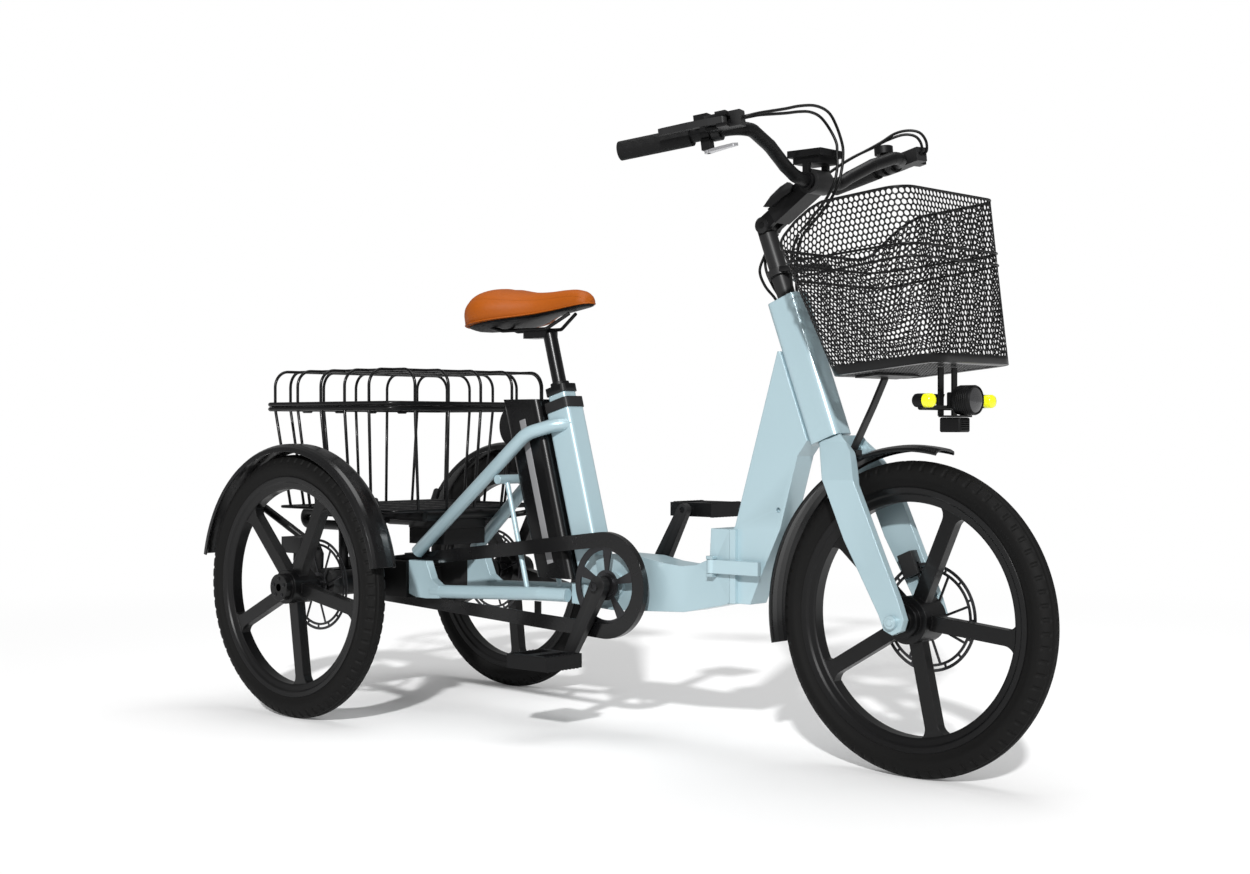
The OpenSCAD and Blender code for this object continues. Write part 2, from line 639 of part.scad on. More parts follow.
module rotor_2d() {
    r = rotor_d / 2;
    arms = 8;
    difference() {
        circle(r, $fn = 96);
        circle(r - 5, $fn = 96);
    }
    difference() {
        circle(r - 9, $fn = 96);
        circle(r - 13.5, $fn = 96);
    }
    difference() {
        circle(24, $fn = fine);
        circle(16, $fn = fine);
    }
    for (i = [0 : 15]) rotate([0, 0, i * 22.5]) translate([r - 10, -1.8]) square([7, 3.6]);
    for (i = [0 : arms - 1]) rotate([0, 0, i * 360 / arms]) translate([20, 0]) rotate([0, 0, 22]) translate([0, -2]) square([r - 29, 4]);
}
front_spoke_deg = 66.5;
rear_spoke_deg = -82;
front_hub_d = 78;
front_hub_half = 34;
front_rotor_y = 42;
module front_tyre() {
    color(rubber) placed() tyre(wheelbase, 0);
}
module front_wheel() {
    color(black) placed() translate([wheelbase, 0, axle_z]) rotate([90, 0, 0]) difference() {
        union() {
            wheel_web(front_hub_d / 2 - 9, front_spoke_deg);
            translate([0, 0, -front_hub_half]) cylinder(d = front_hub_d, h = 2 * front_hub_half - 8, $fn = fine);
            translate([0, 0, front_hub_half - 8]) cylinder(d = 56, h = 12, $fn = fine);
            translate([0, 0, front_hub_half]) cylinder(d = 34, h = 14, $fn = fine);
            translate([0, 0, -50]) cylinder(d = 31.6, h = 20, $fn = fine);
        }
        translate([0, 0, -80]) cylinder(d = front_axle_d + 2 * run_gap, h = 160, $fn = fine);
    }
}
module front_rotor() {
    color(silver * 0.5) placed() translate([wheelbase, front_rotor_y + 1, axle_z]) rotate([90, 0, 0]) linear_extrude(2) rotor_2d();
}
// A rear wheel: cast spokes, a stepped hub and the half axle that turns in the carrier
module rear_wheel(s) {
    out = 338;
    mid = track / 2;
    color(black) placed() {
        translate([0, s * mid, axle_z]) rotate([90, 0, 0]) wheel_web(24, s < 0 ? rear_spoke_deg : rear_spoke_deg - 1.5);
        cross_cylinder([0, axle_z], s < 0 ? -mid - 26 : mid - 30, s < 0 ? -mid + 30 : mid + 26, 66);
        cross_cylinder([0, axle_z], s < 0 ? -out : mid + 25, s < 0 ? -mid - 25 : out, 52);
        cross_cylinder([0, axle_z], s < 0 ? -mid + 28 : 228, s < 0 ? -228 : mid - 28, 31.6);
        cross_cylinder([0, axle_z], s < 0 ? -230 : 74, s < 0 ? -74 : 230, rear_axle_d);
    }
}
module rear_rotor(s) {
    color(silver * 0.5) placed() translate([0, s * rear_rotor_y + 1, axle_z]) rotate([90, 0, 0]) linear_extrude(2) rotor_2d();
}
module right_rear_tyre() {
    color(rubber) placed() tyre(0, -track / 2);
}
module left_rear_tyre() {
    color(rubber) placed() tyre(0, track / 2);
}
module right_rear_wheel() {
    rear_wheel(-1);
}
module left_rear_wheel() {
    rear_wheel(1);
}
module right_rear_rotor() {
    rear_rotor(-1);
}
module left_rear_rotor() {
    rear_rotor(1);
}

// Front frame

function shroud_face(z, k) = head_x(z) + k * head_box_x / 2 / cos(head_angle);
module down_tube() {
    half = beam_w / 2;
    gap = seat_gap + 0.2;
    bottom = head_low[2] - 2;
    color(blue) placed() difference() {
        union() {
            side_plate(-down_w / 2, down_w / 2) polygon([[hinge_x + seat_gap, hinge_low], [918, hinge_low], [946, 322],
                [983, 395], [1020, 521], [shroud_face(bottom, -1) - gap, bottom], [shroud_face(700, -1) - gap, 700],
                [shroud_face(700, -1) - gap - 5, 700], [885, 397], [hinge_x + seat_gap, hinge_high]]);
            block([hinge_x + seat_gap, -half, hinge_low], [hinge_x + 13, half, hinge_high]);
            translate([hinge_x, hinge_y, hinge_low + 38.3]) cylinder(r = knuckle_r, h = hinge_high - hinge_low - 76.6, $fn = fine);
            block([hinge_x + 4, down_w / 2 - 4, hinge_low + 38.3], [hinge_x + 24, hinge_y, hinge_high - 38.3]);
        }
        translate([hinge_x, hinge_y, hinge_low]) cylinder(d = hinge_pin_d + 2 * run_gap, h = hinge_high - hinge_low, $fn = fine);
        // Boss for the latch's catch and the hole of the cable port
        translate([979, -down_w / 2 - 1, 428]) rotate([-90, 0, 0]) cylinder(d = 9, h = 8, $fn = round_fn);
    }
}
module head_shroud() {
    hose_bore = 46;
    color(blue) placed() head_axis() difference() {
        linear_extrude(shroud_l) round_rect(head_box_x, head_box_y, 12);
        translate([0, 0, -1]) cylinder(d = steerer_d + 2 * run_gap, h = shroud_l + 2, $fn = fine);
        translate([0, 0, shroud_l - 42]) cylinder(d = hose_bore, h = 50, $fn = fine);
    }
}
// The long lever on the right that locks the frame's fold
module frame_latch() {
    color(blue) placed() difference() {
        union() {
            translate([latch_p[0], latch_p[1], latch_z - latch_half]) cylinder(d = 16, h = 2 * latch_half, $fn = fine);
            block([latch_p[0], latch_p[1] - 4, latch_z - latch_half], [951, latch_p[1] + 4, latch_z + latch_half]);
        }
        translate([latch_p[0], latch_p[1], latch_z - 20]) cylinder(d = latch_pin_d + 2 * run_gap, h = 40, $fn = fine);
    }
}

// Steering

module fork_leg(y0, y1) {
    side_plate(y0, y1) polygon([[1072, 544], [1113, 559], [1140, 530], [1162, 488], [1252, 290], [1262, 262],
        [1256, 244], [1240, 237], [1224, 244], [1214, 268], [1146, 386], [1104, 480]]);
}
module fork() {
    crown_half = 66;
    leg_t = 14;
    // The legs lean in above bend_z to a neck about as wide as the shroud, clear of the mudguard
    bend_z = 484;
    neck_half = 31;
    neck_z = 546;
    color(blue) placed() {
        union() {
            difference() {
                intersection() {
                    fork_leg(-crown_half - 1, crown_half + 1);
                    translate([1000, 0, 0]) rotate([90, 0, 90]) linear_extrude(300)
                        polygon([[-crown_half, 200], [-crown_half, bend_z], [-neck_half, neck_z], [-neck_half, 600],
                            [neck_half, 600], [neck_half, neck_z], [crown_half, bend_z], [crown_half, 200]]);
                }
                translate([1000, 0, 0]) rotate([90, 0, 90]) linear_extrude(300)
                    polygon([[-crown_half + leg_t, 190], [-crown_half + leg_t, bend_z - 8], [-neck_half - 1, 514],
                        [-neck_half + 4, 526], [neck_half - 4, 526], [neck_half + 1, 514],
                        [crown_half - leg_t, bend_z - 8], [crown_half - leg_t, 190]]);
                block([1106, -neck_half + 4, 500], [1200, neck_half - 4, 600]);
            }
            head_axis() translate([1, -neck_half + 2, -34]) cube([27, 2 * neck_half - 4, 30]);
            head_axis() translate([0, 0, -10]) cylinder(d = 44, h = 9.5, $fn = fine);
            head_axis() translate([0, 0, -8]) cylinder(d = steerer_d, h = shroud_l + 78, $fn = fine);
            cross_cylinder([wheelbase, axle_z], -crown_half - 9, crown_half + 9, front_axle_d);
            for (s = [-1, 1]) cross_cylinder([wheelbase, axle_z], s < 0 ? -crown_half - 8 : crown_half - 1, s < 0 ? -crown_half + 1 : crown_half + 8, 22);
        }
    }
}
module front_mudguard() {
    t = 2.5;
    r = wheel_r + 25;
    color(black) placed() {
        translate([wheelbase, 0, axle_z]) rotate([90, 0, 0]) rotate([0, 0, 78]) rotate_extrude(angle = 114, $fn = 128)
            polygon([[r - 8, -28], [r - 4, -26], [r, -14], [r + 1, 0], [r, 14], [r - 4, 26], [r - 8, 28],
                [r - 8 - t, 26.5], [r - 4 - t, 24], [r - t, 13], [r + 1 - t, 0], [r - t, -13], [r - 4 - t, -24], [r - 8 - t, -26.5]]);
        // Bracket from the crown of the fork
        block([1111.5, -9, 518], [1130, 9, 532]);
    }
}
module front_caliper() {
    a = [1204.6, 343];
    color(black) placed() difference() {
        translate([a[0], 0, a[1]]) rotate([0, -22.6, 0]) block([-14, 32, -20], [14, 51.7, 20]);
        cross_cylinder([wheelbase, axle_z], front_rotor_y - 3.2, front_rotor_y + 3.2, rotor_d + 5);
    }
}

// Front basket

basket_tilt = 5.5;
// Places of the front basket: the rear and front ends of its bottom, and of its top plane
basket_low = [1150, 652];
basket_low_l = 208;
basket_top = [1009, 960];
basket_top_l = 298;
basket_low_w = 244;
basket_r = 36;
module basket_slab(inset) {
    hull() {
        translate([basket_low[0], 0, basket_low[1]]) rotate([0, -basket_tilt, 0]) translate([basket_low_l / 2, 0, inset])
            linear_extrude(0.5) round_rect(basket_low_l - 2 * inset, basket_low_w - 2 * inset, basket_r - inset);
        translate([basket_top[0] + basket_top_l / 2, 0, basket_top[1]])
            linear_extrude(0.5) round_rect(basket_top_l - 2 * inset, front_basket_w + 4 - 2 * inset, basket_r - inset);
    }
}
module front_basket() {
    color(black) placed() difference() {
        basket_slab(0);
        basket_slab(sheet_t);
        // The rim: level at the front, curving down behind
        side_plate(-200, 200) polygon([[1400, 954], [1308, 946], [1155, 932], [1130, 922], [1102, 905], [1078, 885],
            [1054, 862], [900, 820], [900, 1100], [1400, 1100]]);
    }
}
module basket_brackets() {
    plate = 3;
    color(black) placed() {
        // Strut from the fork crown up to the basket's bottom
        hull() {
            translate([1119, -8, 532.3]) cube([plate, 16, 5]);
            translate([1158, -8, 604]) cube([plate, 16, 4]);
        }
        hull() {
            translate([1158, -8, 604]) cube([plate, 16, 4]);
            translate([1180, -8, 648]) cube([plate, 16, 4]);
        }
        translate([basket_low[0], 0, basket_low[1]]) rotate([0, -basket_tilt, 0]) block([14, -60, -plate - seat_gap], [60, 60, -seat_gap]);
        // Ring round the stem base, with two arms to the rear wall
        head_axis() translate([0, 0, 300]) difference() {
            cylinder(d = base_d + 12, h = 12, $fn = fine);
            translate([0, 0, -1]) cylinder(d = base_d + 0.2, h = 14, $fn = fine);
        }
        for (s = [-1, 1]) block([976.8, s < 0 ? -18 : 13, 837], [1060.8, s < 0 ? -13 : 18, 846]);
        // Straps that carry the lamps
        for (s = [-1, 1]) block([1300, s * 20 - 7, 588], [1300 + plate, s * 20 + 7, 666]);
        rod([1302, -81.1, 601], [1302, 81.1, 601], 8);
        block([1296, -18, 586], [1336, 18, 589]);
    }
}
module front_lamps() {
    color(black) placed() {
        translate([1318, 0, 613]) rotate([0, 90, 0]) cylinder(d = 48, h = 39, $fn = fine);
        block([1306.5, -12, 600], [1320, 12, 626]);
        for (s = [-1, 1]) translate([1298, 90 * s, 612]) rotate([0, 90, 0]) cylinder(d = 22, h = 35, $fn = fine);
        block([1296, -16, 562], [1334, 16, 585.7]);
    }
}

// Stem

base_d = 32;
lug_half = 9;
stem_half = 20;
module stem_base() {
    color(black) placed() difference() {
        union() {
            head_axis() translate([0, 0, shroud_l + 1]) cylinder(d = base_d, h = 378 - shroud_l, $fn = fine);
            cross_cylinder([stem_pivot[0], stem_pivot[2]], -lug_half, lug_half, 26);
            cross_cylinder([stem_pivot[0], stem_pivot[2]], -stem_half - 1.5, stem_half + 1.5, stem_pin_d);
            head_axis() translate([-13, -lug_half, 360]) cube([26, 2 * lug_half, 34]);
        }
        head_axis() cylinder(d = steerer_d + 0.1, h = shroud_l + 71, $fn = fine);
    }
}
module folding_stem() {
    v = bar_mid - stem_pivot;
    l = norm(v);
    a = atan2(v[2], v[0]);
    ear = lug_half + seat_gap;
    color(black) placed() difference() {
        union() {
            for (s = [-1, 1]) cross_cylinder([stem_pivot[0], stem_pivot[2]], s < 0 ? -stem_half : ear, s < 0 ? -ear : stem_half, 28);
            translate(stem_pivot) rotate([0, -a, 0]) {
                for (s = [-1, 1]) block([0, s < 0 ? 0.4 - stem_half : ear + 0.4, -12.5], [40, s < 0 ? -ear - 0.4 : stem_half - 0.4, 12.5]);
                block([26, -stem_half, -15], [l, stem_half, 15]);
            }
            cross_cylinder([bar_mid[0], bar_mid[2]], -22, 22, bar_d + 20);
        }
        cross_cylinder([bar_mid[0], bar_mid[2]], -30, 30, bar_d + 0.1);
        cross_cylinder([stem_pivot[0], stem_pivot[2]], -30, 30, stem_pin_d + 2 * run_gap);
        cross_cylinder([stem_latch_p[0], stem_latch_p[1]], -stem_half - 1, -stem_half + 8, 6 + 2 * run_gap);
    }
}
stem_latch_p = [1005, 974];
// The blade that locks the stem
module stem_latch() {
    color(black) placed() {
        side_plate(-stem_half - 8.3, -stem_half - 0.3) polygon([[1012, 981], [1008, 970], [990, 962], [966, 948], [950, 949],
            [966, 966], [986, 980], [1002, 987]]);
        cross_cylinder(stem_latch_p, -stem_half - 8.3, -stem_half + 7, 6);
    }
}
module handlebar() {
    right = bar_path(-1);
    left = bar_path(1);
    n = len(left) - 1;
    color(black) placed() bent_tube(concat([for (i = [n : -1 : 1]) left[i]], [for (i = [1 : n]) right[i]]), bar_d, 36);
}
function bar_end(s) = bar_path(s)[len(bar_path(s)) - 1];
function bar_root(s) = bar_path(s)[len(bar_path(s)) - 2];
// Moves to a place on the straight end of the bar, a distance t from its root, with Z along the bar
module on_bar(s, t) {
    v = bar_end(s) - bar_root(s);
    l = norm(v);
    translate(bar_root(s) + v * (t / l)) rotate([0, acos(v[2] / l), atan2(v[1], v[0])]) children();
}
bar_end_l = norm(bar_end(1) - bar_root(1));
module grips() {
    color(black) placed() for (s = [-1, 1]) on_bar(s, bar_end_l - grip_l + 3) difference() {
        cylinder(d = grip_d, h = grip_l, $fn = fine);
        translate([0, 0, -1]) cylinder(d = bar_d + 0.1, h = grip_l - 2, $fn = fine);
    }
}
module bar_instruments() {
    color(black) placed() {
        // Display on its two clamps
        block([1006, -34, 1026], [1076, 34, 1038]);
        block([1014, -28, 1015], [1068, 28, 1026.1]);
        for (s = [-1, 1]) {
            difference() {
                cross_cylinder([bar_mid[0], bar_mid[2]], s < 0 ? -31 : 23, s < 0 ? -23 : 31, bar_d + 8);
                cross_cylinder([bar_mid[0], bar_mid[2]], s < 0 ? -32 : 22, s < 0 ? -22 : 32, bar_d + 0.1);
            }
            block([bar_mid[0] - 6, s < 0 ? -31 : 23, bar_mid[2] + bar_d / 2 + 1], [bar_mid[0] + 6, s < 0 ? -23 : 31, 1016]);
        }
        // Switch box above and shifter pod under the right end of the bar
        on_bar(-1, 0) difference() {
            union() {
                translate([0, 0, 44]) cylinder(d = bar_d + 8, h = 15, $fn = fine);
                block([-30, -9, 44], [-11, 11, 68]);
                block([11, -6, 44], [29, 14, 59]);
                translate([28, paddle_pivot[0], paddle_pivot[1]]) rotate([0, 90, 0]) cylinder(d = paddle_pin_d, h = 6.8, $fn = fine);
            }
            translate([0, 0, 40]) cylinder(d = bar_d + 0.1, h = 40, $fn = fine);
        }
        // Bell on the left end of the bar
        on_bar(1, 52) difference() {
            union() {
                cylinder(d = bar_d + 8, h = 10, $fn = fine);
                translate([-24, 0, 5]) rotate([0, -90, 0]) cylinder(d = 34, h = 14, $fn = fine);
                translate([-26, -5, 0]) cube([16, 10, 10]);
            }
            translate([0, 0, -1]) cylinder(d = bar_d + 0.1, h = 12, $fn = fine);
        }
    }
}
// Clamp ring, body and pivot pin of each brake lever; outward of the bar is local Y times -s
lever_pivot = [40, 8];
lever_pin_d = 6;
lever_z = [-12, -1];
module lever_brackets() {
    color(black) placed() for (s = [-1, 1]) on_bar(s, 0) scale_y(-s) difference() {
        union() {
            translate([0, 0, 27]) cylinder(d = bar_d + 10, h = 14, $fn = fine);
            block([-20, 12, -20], [5, 34, 41]);
            block([-20, 30, -1], [5, 48, 17]);
        }
        translate([0, 0, -30]) cylinder(d = bar_d + 0.1, h = 80, $fn = fine);
        block([lever_z[0] - seat_gap, 27, -3], [lever_z[1] + seat_gap, 60, 50]);
    }
    color(black) placed() for (s = [-1, 1]) on_bar(s, 0) scale_y(-s)
        translate([-19, lever_pivot[0], lever_pivot[1]]) rotate([0, 90, 0]) cylinder(d = lever_pin_d, h = 23, $fn = fine);
}
// Turns the outward side to the rider's right or left
module scale_y(k) {
    mirror([0, k > 0 ? 0 : 1, 0]) children();
}
module brake_lever(s) {
    on_bar(s, 0) scale_y(-s) translate([lever_z[0], 0, 0]) rotate([0, 90, 0]) difference() {
        linear_extrude(lever_z[1] - lever_z[0]) rotate([0, 0, 180]) union() {
            translate([lever_pivot[1], -lever_pivot[0]]) circle(d = 14, $fn = fine);
            polygon([[8, -46.9], [30, -49], [64, -51], [108, -49], [116, -47], [118, -43], [113, -40.5],
                [66, -41], [32, -39], [14, -36.4], [8, -34]]);
        }
        translate([-lever_pivot[1], lever_pivot[0], -1]) cylinder(d = lever_pin_d + 2 * run_gap, h = 40, $fn = fine);
    }
}
module right_brake_lever() {
    color(black) placed() brake_lever(-1);
}
module left_brake_lever() {
    color(black) placed() brake_lever(1);
}
// The pod under the right end of the bar, and its thumb paddle
paddle_pivot = [6, 50];
paddle_pin_d = 5;
module shifter_paddle() {
    color(silver) placed() on_bar(-1, 0) translate([29.3, 0, 0]) rotate([0, 90, 0]) difference() {
        linear_extrude(5) rotate([0, 0, 180]) union() {
            translate([paddle_pivot[1], -paddle_pivot[0]]) circle(d = 14, $fn = fine);
            polygon([[48, -1], [55, -8], [46, -15], [24, -22], [0, -26], [-6, -20], [14, -14], [34, -6]]);
        }
        translate([-paddle_pivot[1], paddle_pivot[0], -1]) cylinder(d = paddle_pin_d + 2 * run_gap, h = 10, $fn = fine);
    }
}

// Hoses

// A smooth curve through the route's points, with k steps between two of them
function smooth(p, k) = [for (i = [0 : len(p) - 2], j = [0 : k - 1])
    let (t = j / k, a = p[max(i - 1, 0)], b = p[i], c = p[i + 1], d = p[min(i + 2, len(p) - 1)])
    0.5 * (2 * b + (c - a) * t + (2 * a - 5 * b + 4 * c - d) * t * t + (3 * b - a - 3 * c + d) * t * t * t),
    p[len(p) - 1]];
function tangents(q) = [for (i = [0 : len(q) - 1]) unit(q[min(i + 1, len(q) - 1)] - q[max(i - 1, 0)])];
function normals(t, i, n) = i >= len(t) ? [] :
    let (m = unit(n - (n * t[i]) * t[i])) concat([m], normals(t, i + 1, m));
module hose(route, k = 3) {
    q = smooth(route, k);
    t = tangents(q);
    n = normals(t, 0, [0.1, 0.3, 0.9]);
    m = len(q);
    ring = [for (i = [0 : m - 1], j = [0 : hose_n - 1])
        q[i] + hose_d / 2 * (cos(360 / hose_n * j) * n[i] + sin(360 / hose_n * j) * cross(t[i], n[i]))];
    sides = [for (i = [0 : m - 2], j = [0 : hose_n - 1])
        let (a = i * hose_n + j, b = i * hose_n + (j + 1) % hose_n) [a, a + hose_n, b + hose_n, b]];
    polyhedron(ring, concat([[for (j = [0 : hose_n - 1]) j]], sides,
        [[for (j = [hose_n - 1 : -1 : 0]) (m - 1) * hose_n + j]]), convexity = 8);
}
module bar_hoses() {
    color(black) placed() {
        hose(right_loop_a);
        hose(right_loop_b);
        hose(left_loop_a);
        hose(left_loop_b);
    }
}
module lower_hoses() {
    color(black) placed() {
        hose(low_hose_a);
        hose(low_hose_b);
        hose(low_hose_c);
        hose(low_hose_d);
    }
}

// Seat and battery

module inner_seat_tube() {
    depth = 200;
    color(blue) placed() seat_axis() translate([0, 0, -depth]) difference() {
        linear_extrude(depth + 33) round_rect(inner_x, inner_y, 6);
        translate([0, 0, -1]) cylinder(d = seatpost_d + 2 * run_gap, h = depth + 40, $fn = fine);
    }
}
module upper_seat_collar() {
    color(black) placed() seat_axis() translate([0, 0, 33]) difference() {
        union() {
            linear_extrude(15) round_rect(inner_x + 6, inner_y + 6, 8);
            translate([0, 0, 15]) cylinder(d = seatpost_d + 9, h = 7, $fn = fine);
        }
        translate([0, 0, -1]) cylinder(d = seatpost_d + 2 * run_gap, h = 40, $fn = fine);
    }
}
post_top = 160;
module seatpost() {
    head_x = seat_top[0] - post_top * sin(seat_angle);
    head_z = seat_top[2] + post_top * cos(seat_angle);
    color(black) placed() {
        seat_axis() translate([0, 0, -150]) cylinder(d = seatpost_d, h = 150 + post_top, $fn = fine);
        // Clamp that holds the saddle's rails
        block([head_x - 54, -rail_y + rail_d / 2 + seat_gap, head_z - 14], [head_x + 6, rail_y - rail_d / 2 - seat_gap, head_z + 5]);
    }
}
// The saddle's back end, the height of its lower skin there, and its rails
saddle_x0 = 229;
saddle_back_z = saddle_z - 74;
rail_d = 7;
rail_y = 21;
module saddle_base() {
    color(black) placed() {
        difference() {
            hull() {
                for (s = [-1, 1]) translate([saddle_x0 + 62, (saddle_w / 2 - 58) * s, saddle_z - 80]) cylinder(r = 44, h = 20, $fn = round_fn);
                translate([saddle_x0 + 250, 0, saddle_z - 60]) cylinder(r = 10, h = 14, $fn = round_fn);
            }
            saddle_plane(-1);
        }
        for (s = [-1, 1]) bent_tube([[saddle_x0 + 40, 26 * s, saddle_z - 76], [saddle_x0 + 70, rail_y * s, saddle_z - 84],
            [saddle_x0 + 190, rail_y * s, saddle_z - 84], [saddle_x0 + 240, 9 * s, saddle_z - 54]], rail_d, 14);
        for (s = [-1, 1]) translate([saddle_x0 + 46, 48 * s, saddle_z - 108]) cylinder(d = 32, h = 30, $fn = fine);
        block([saddle_x0 + 28, -60, saddle_z - 112], [saddle_x0 + 66, 60, saddle_z - 107]);
    }
}
// Everything above (-1) or below (1) the slanted plane of the saddle's lower edge
module saddle_plane(gap) {
    a = 6.5;
    translate([saddle_x0, 0, saddle_back_z]) rotate([0, -a, 0]) translate([-100, -300, gap < 0 ? -seat_gap : -400]) cube([700, 600, 400]);
}
module saddle_pad() {
    rear = 54;
    nose = 26;
    mid_x = saddle_x0 + 0.58 * saddle_l;
    color(leather) placed() difference() {
        union() {
            hull() {
                for (s = [-1, 1]) translate([saddle_x0 + rear * 1.07, (saddle_w / 2 - rear) * s, saddle_z - 37]) scale([1.07, 1, 0.685]) sphere(rear, $fn = round_fn);
                translate([mid_x, 0, saddle_z - 38]) scale([1, 1.25, 1]) sphere(31, $fn = round_fn);
            }
            hull() {
                translate([mid_x, 0, saddle_z - 38]) scale([1, 1.25, 1]) sphere(31, $fn = round_fn);
                translate([saddle_x0 + saddle_l - nose, 0, saddle_z - 40]) scale([1, 0.77, 0.85]) sphere(nose, $fn = round_fn);
            }
        }
        saddle_plane(1);
    }
}
module battery_pack() {
    front = -seat_box_x / 2 - rail_t - 0.5;
    deep = 94;
    half = 38;
    top = 624;
    bottom = 283;
    color(black) placed() {
        difference() {
            union() {
                seat_axis() translate([front - deep / 2, 0, -400]) linear_extrude(520) round_rect(deep, 2 * half, 14);
                cross_cylinder([343, 572], -half + 6, half - 6, 84);
            }
            block([0, -60, top], [700, 60, 900]);
            block([0, -60, 0], [700, 60, bottom]);
        }
    }
}

seat_tube();
lower_seat_collar();
right_seat_stay();
left_seat_stay();
right_chain_stay();
left_chain_stay();
stay_bridges();
main_beam();
axle_carrier();
basket_rack();
rear_mudguards();
rear_basket_floor();
rear_basket_sides();
rear_basket_ends();
controller_box();
chain_guard();
drive_chain();
rear_calipers();
basket_lid();
battery_pack();
chainring();
crank_arms();
right_pedal();
left_pedal();
rear_sprocket();
front_tyre();
front_wheel();
front_rotor();
right_rear_tyre();
right_rear_wheel();
right_rear_rotor();
left_rear_tyre();
left_rear_wheel();
left_rear_rotor();
down_tube();
head_shroud();
frame_latch();
fork();
front_mudguard();
front_caliper();
front_basket();
basket_brackets();
front_lamps();
stem_base();
lower_hoses();
folding_stem();
stem_latch();
handlebar();
grips();
bar_instruments();
lever_brackets();
right_brake_lever();
left_brake_lever();
shifter_paddle();
bar_hoses();
inner_seat_tube();
upper_seat_collar();
seatpost();
saddle_base();
saddle_pad();
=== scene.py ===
import bmesh, bpy, math
import numpy as np
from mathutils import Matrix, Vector


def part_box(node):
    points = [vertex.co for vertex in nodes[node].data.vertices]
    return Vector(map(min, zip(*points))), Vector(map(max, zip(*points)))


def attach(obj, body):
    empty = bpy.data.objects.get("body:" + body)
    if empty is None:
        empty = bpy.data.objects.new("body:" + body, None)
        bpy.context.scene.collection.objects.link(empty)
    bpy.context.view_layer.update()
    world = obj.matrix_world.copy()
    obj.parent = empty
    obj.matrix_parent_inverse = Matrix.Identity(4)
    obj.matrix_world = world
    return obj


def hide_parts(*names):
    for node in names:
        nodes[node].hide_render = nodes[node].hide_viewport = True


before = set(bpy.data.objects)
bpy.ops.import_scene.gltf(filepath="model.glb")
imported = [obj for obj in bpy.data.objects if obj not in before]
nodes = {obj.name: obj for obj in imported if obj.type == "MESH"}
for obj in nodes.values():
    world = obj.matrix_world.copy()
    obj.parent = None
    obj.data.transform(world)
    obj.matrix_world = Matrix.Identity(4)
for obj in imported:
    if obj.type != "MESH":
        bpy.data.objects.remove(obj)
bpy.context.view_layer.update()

# Distances below are in mm from the rear axle's middle, as in the part's source
lo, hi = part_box("right_rear_tyre")
AXLE_X = (lo.x + hi.x) / 2


def place(p):
    """Points in mm from the rear axle, turned into metres in the model's frame."""
    return np.asarray(p, float) / 1000 + np.array([AXLE_X, 0.0, 0.0])


class Shape:
    """Collects faces, in mm, for one piece."""

    def __init__(self):
        self.verts, self.faces, self.count = [], [], 0

    def add(self, verts, faces):
        self.verts.append(np.asarray(verts, float).reshape(-1, 3))
        self.faces += [tuple(int(i) + self.count for i in f) for f in faces]
        self.count += len(self.verts[-1])
        return self

    def piece(self, name, body, material, smooth=40, replaces=(), slot=None, subdivide=0):
        mesh = bpy.data.meshes.new(name)
        mesh.from_pydata(place(np.vstack(self.verts)).tolist(), [], self.faces)
        work = bmesh.new()
        work.from_mesh(mesh)
        bmesh.ops.remove_doubles(work, verts=work.verts, dist=2e-6)
        bmesh.ops.recalc_face_normals(work, faces=work.faces)
        work.to_mesh(mesh)
        work.free()
        mesh.materials.append(material)
        obj = bpy.data.objects.new(name, mesh)
        bpy.context.scene.collection.objects.link(obj)
        mesh.polygons.foreach_set("use_smooth", [True] * len(mesh.polygons))
        if smooth < 180:
            mesh.set_sharp_from_angle(angle=math.radians(smooth))
        if subdivide:
            sub = obj.modifiers.new("sub", "SUBSURF")
            sub.levels = sub.render_levels = subdivide
        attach(obj, body)
        if replaces:
            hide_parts(*replaces)
        return obj


def unit(v):
    return v / max(np.linalg.norm(v), 1e-9)


def bend(points, radius, steps=6, closed=False):
    """A polyline whose corners are rounded by arcs."""
    p = [np.asarray(q, float) for q in points]
    n = len(p)
    out = []
    for i in range(n):
        if not closed and i in (0, n - 1):
            out.append(p[i])
            continue
        a, b, c = p[i - 1], p[i], p[(i + 1) % n]
        u, w = unit(a - b), unit(c - b)
        half = math.acos(max(-1, min(1, float(u @ w)))) / 2
        if half > math.pi / 2 - 0.01:
            out.append(b)
            continue
        cut = min(radius / math.tan(half), 0.48 * np.linalg.norm(a - b), 0.48 * np.linalg.norm(c - b))
        r = cut * math.tan(half)
        centre = b + unit(u + w) * (r / math.sin(half))
        s, e = b + u * cut - centre, b + w * cut - centre
        turn = math.pi - 2 * half
        for k in range(steps + 1):
            t = k / steps
            out.append(centre + (math.sin((1 - t) * turn) * s + math.sin(t * turn) * e) / math.sin(turn))
    return np.array(out)


def curve(points, k=6):
    """A smooth curve through the points, with k steps between two of them."""
    p = np.asarray(points, float)
    out = []
    for i in range(len(p) - 1):
        a, b, c, d = p[max(i - 1, 0)], p[i], p[i + 1], p[min(i + 2, len(p) - 1)]
        for t in np.arange(k) / k:
            out.append(0.5 * (2 * b + (c - a) * t + (2 * a - 5 * b + 4 * c - d) * t ** 2
                              + (3 * b - a - 3 * c + d) * t ** 3))
    out.append(p[-1])
    return np.array(out)


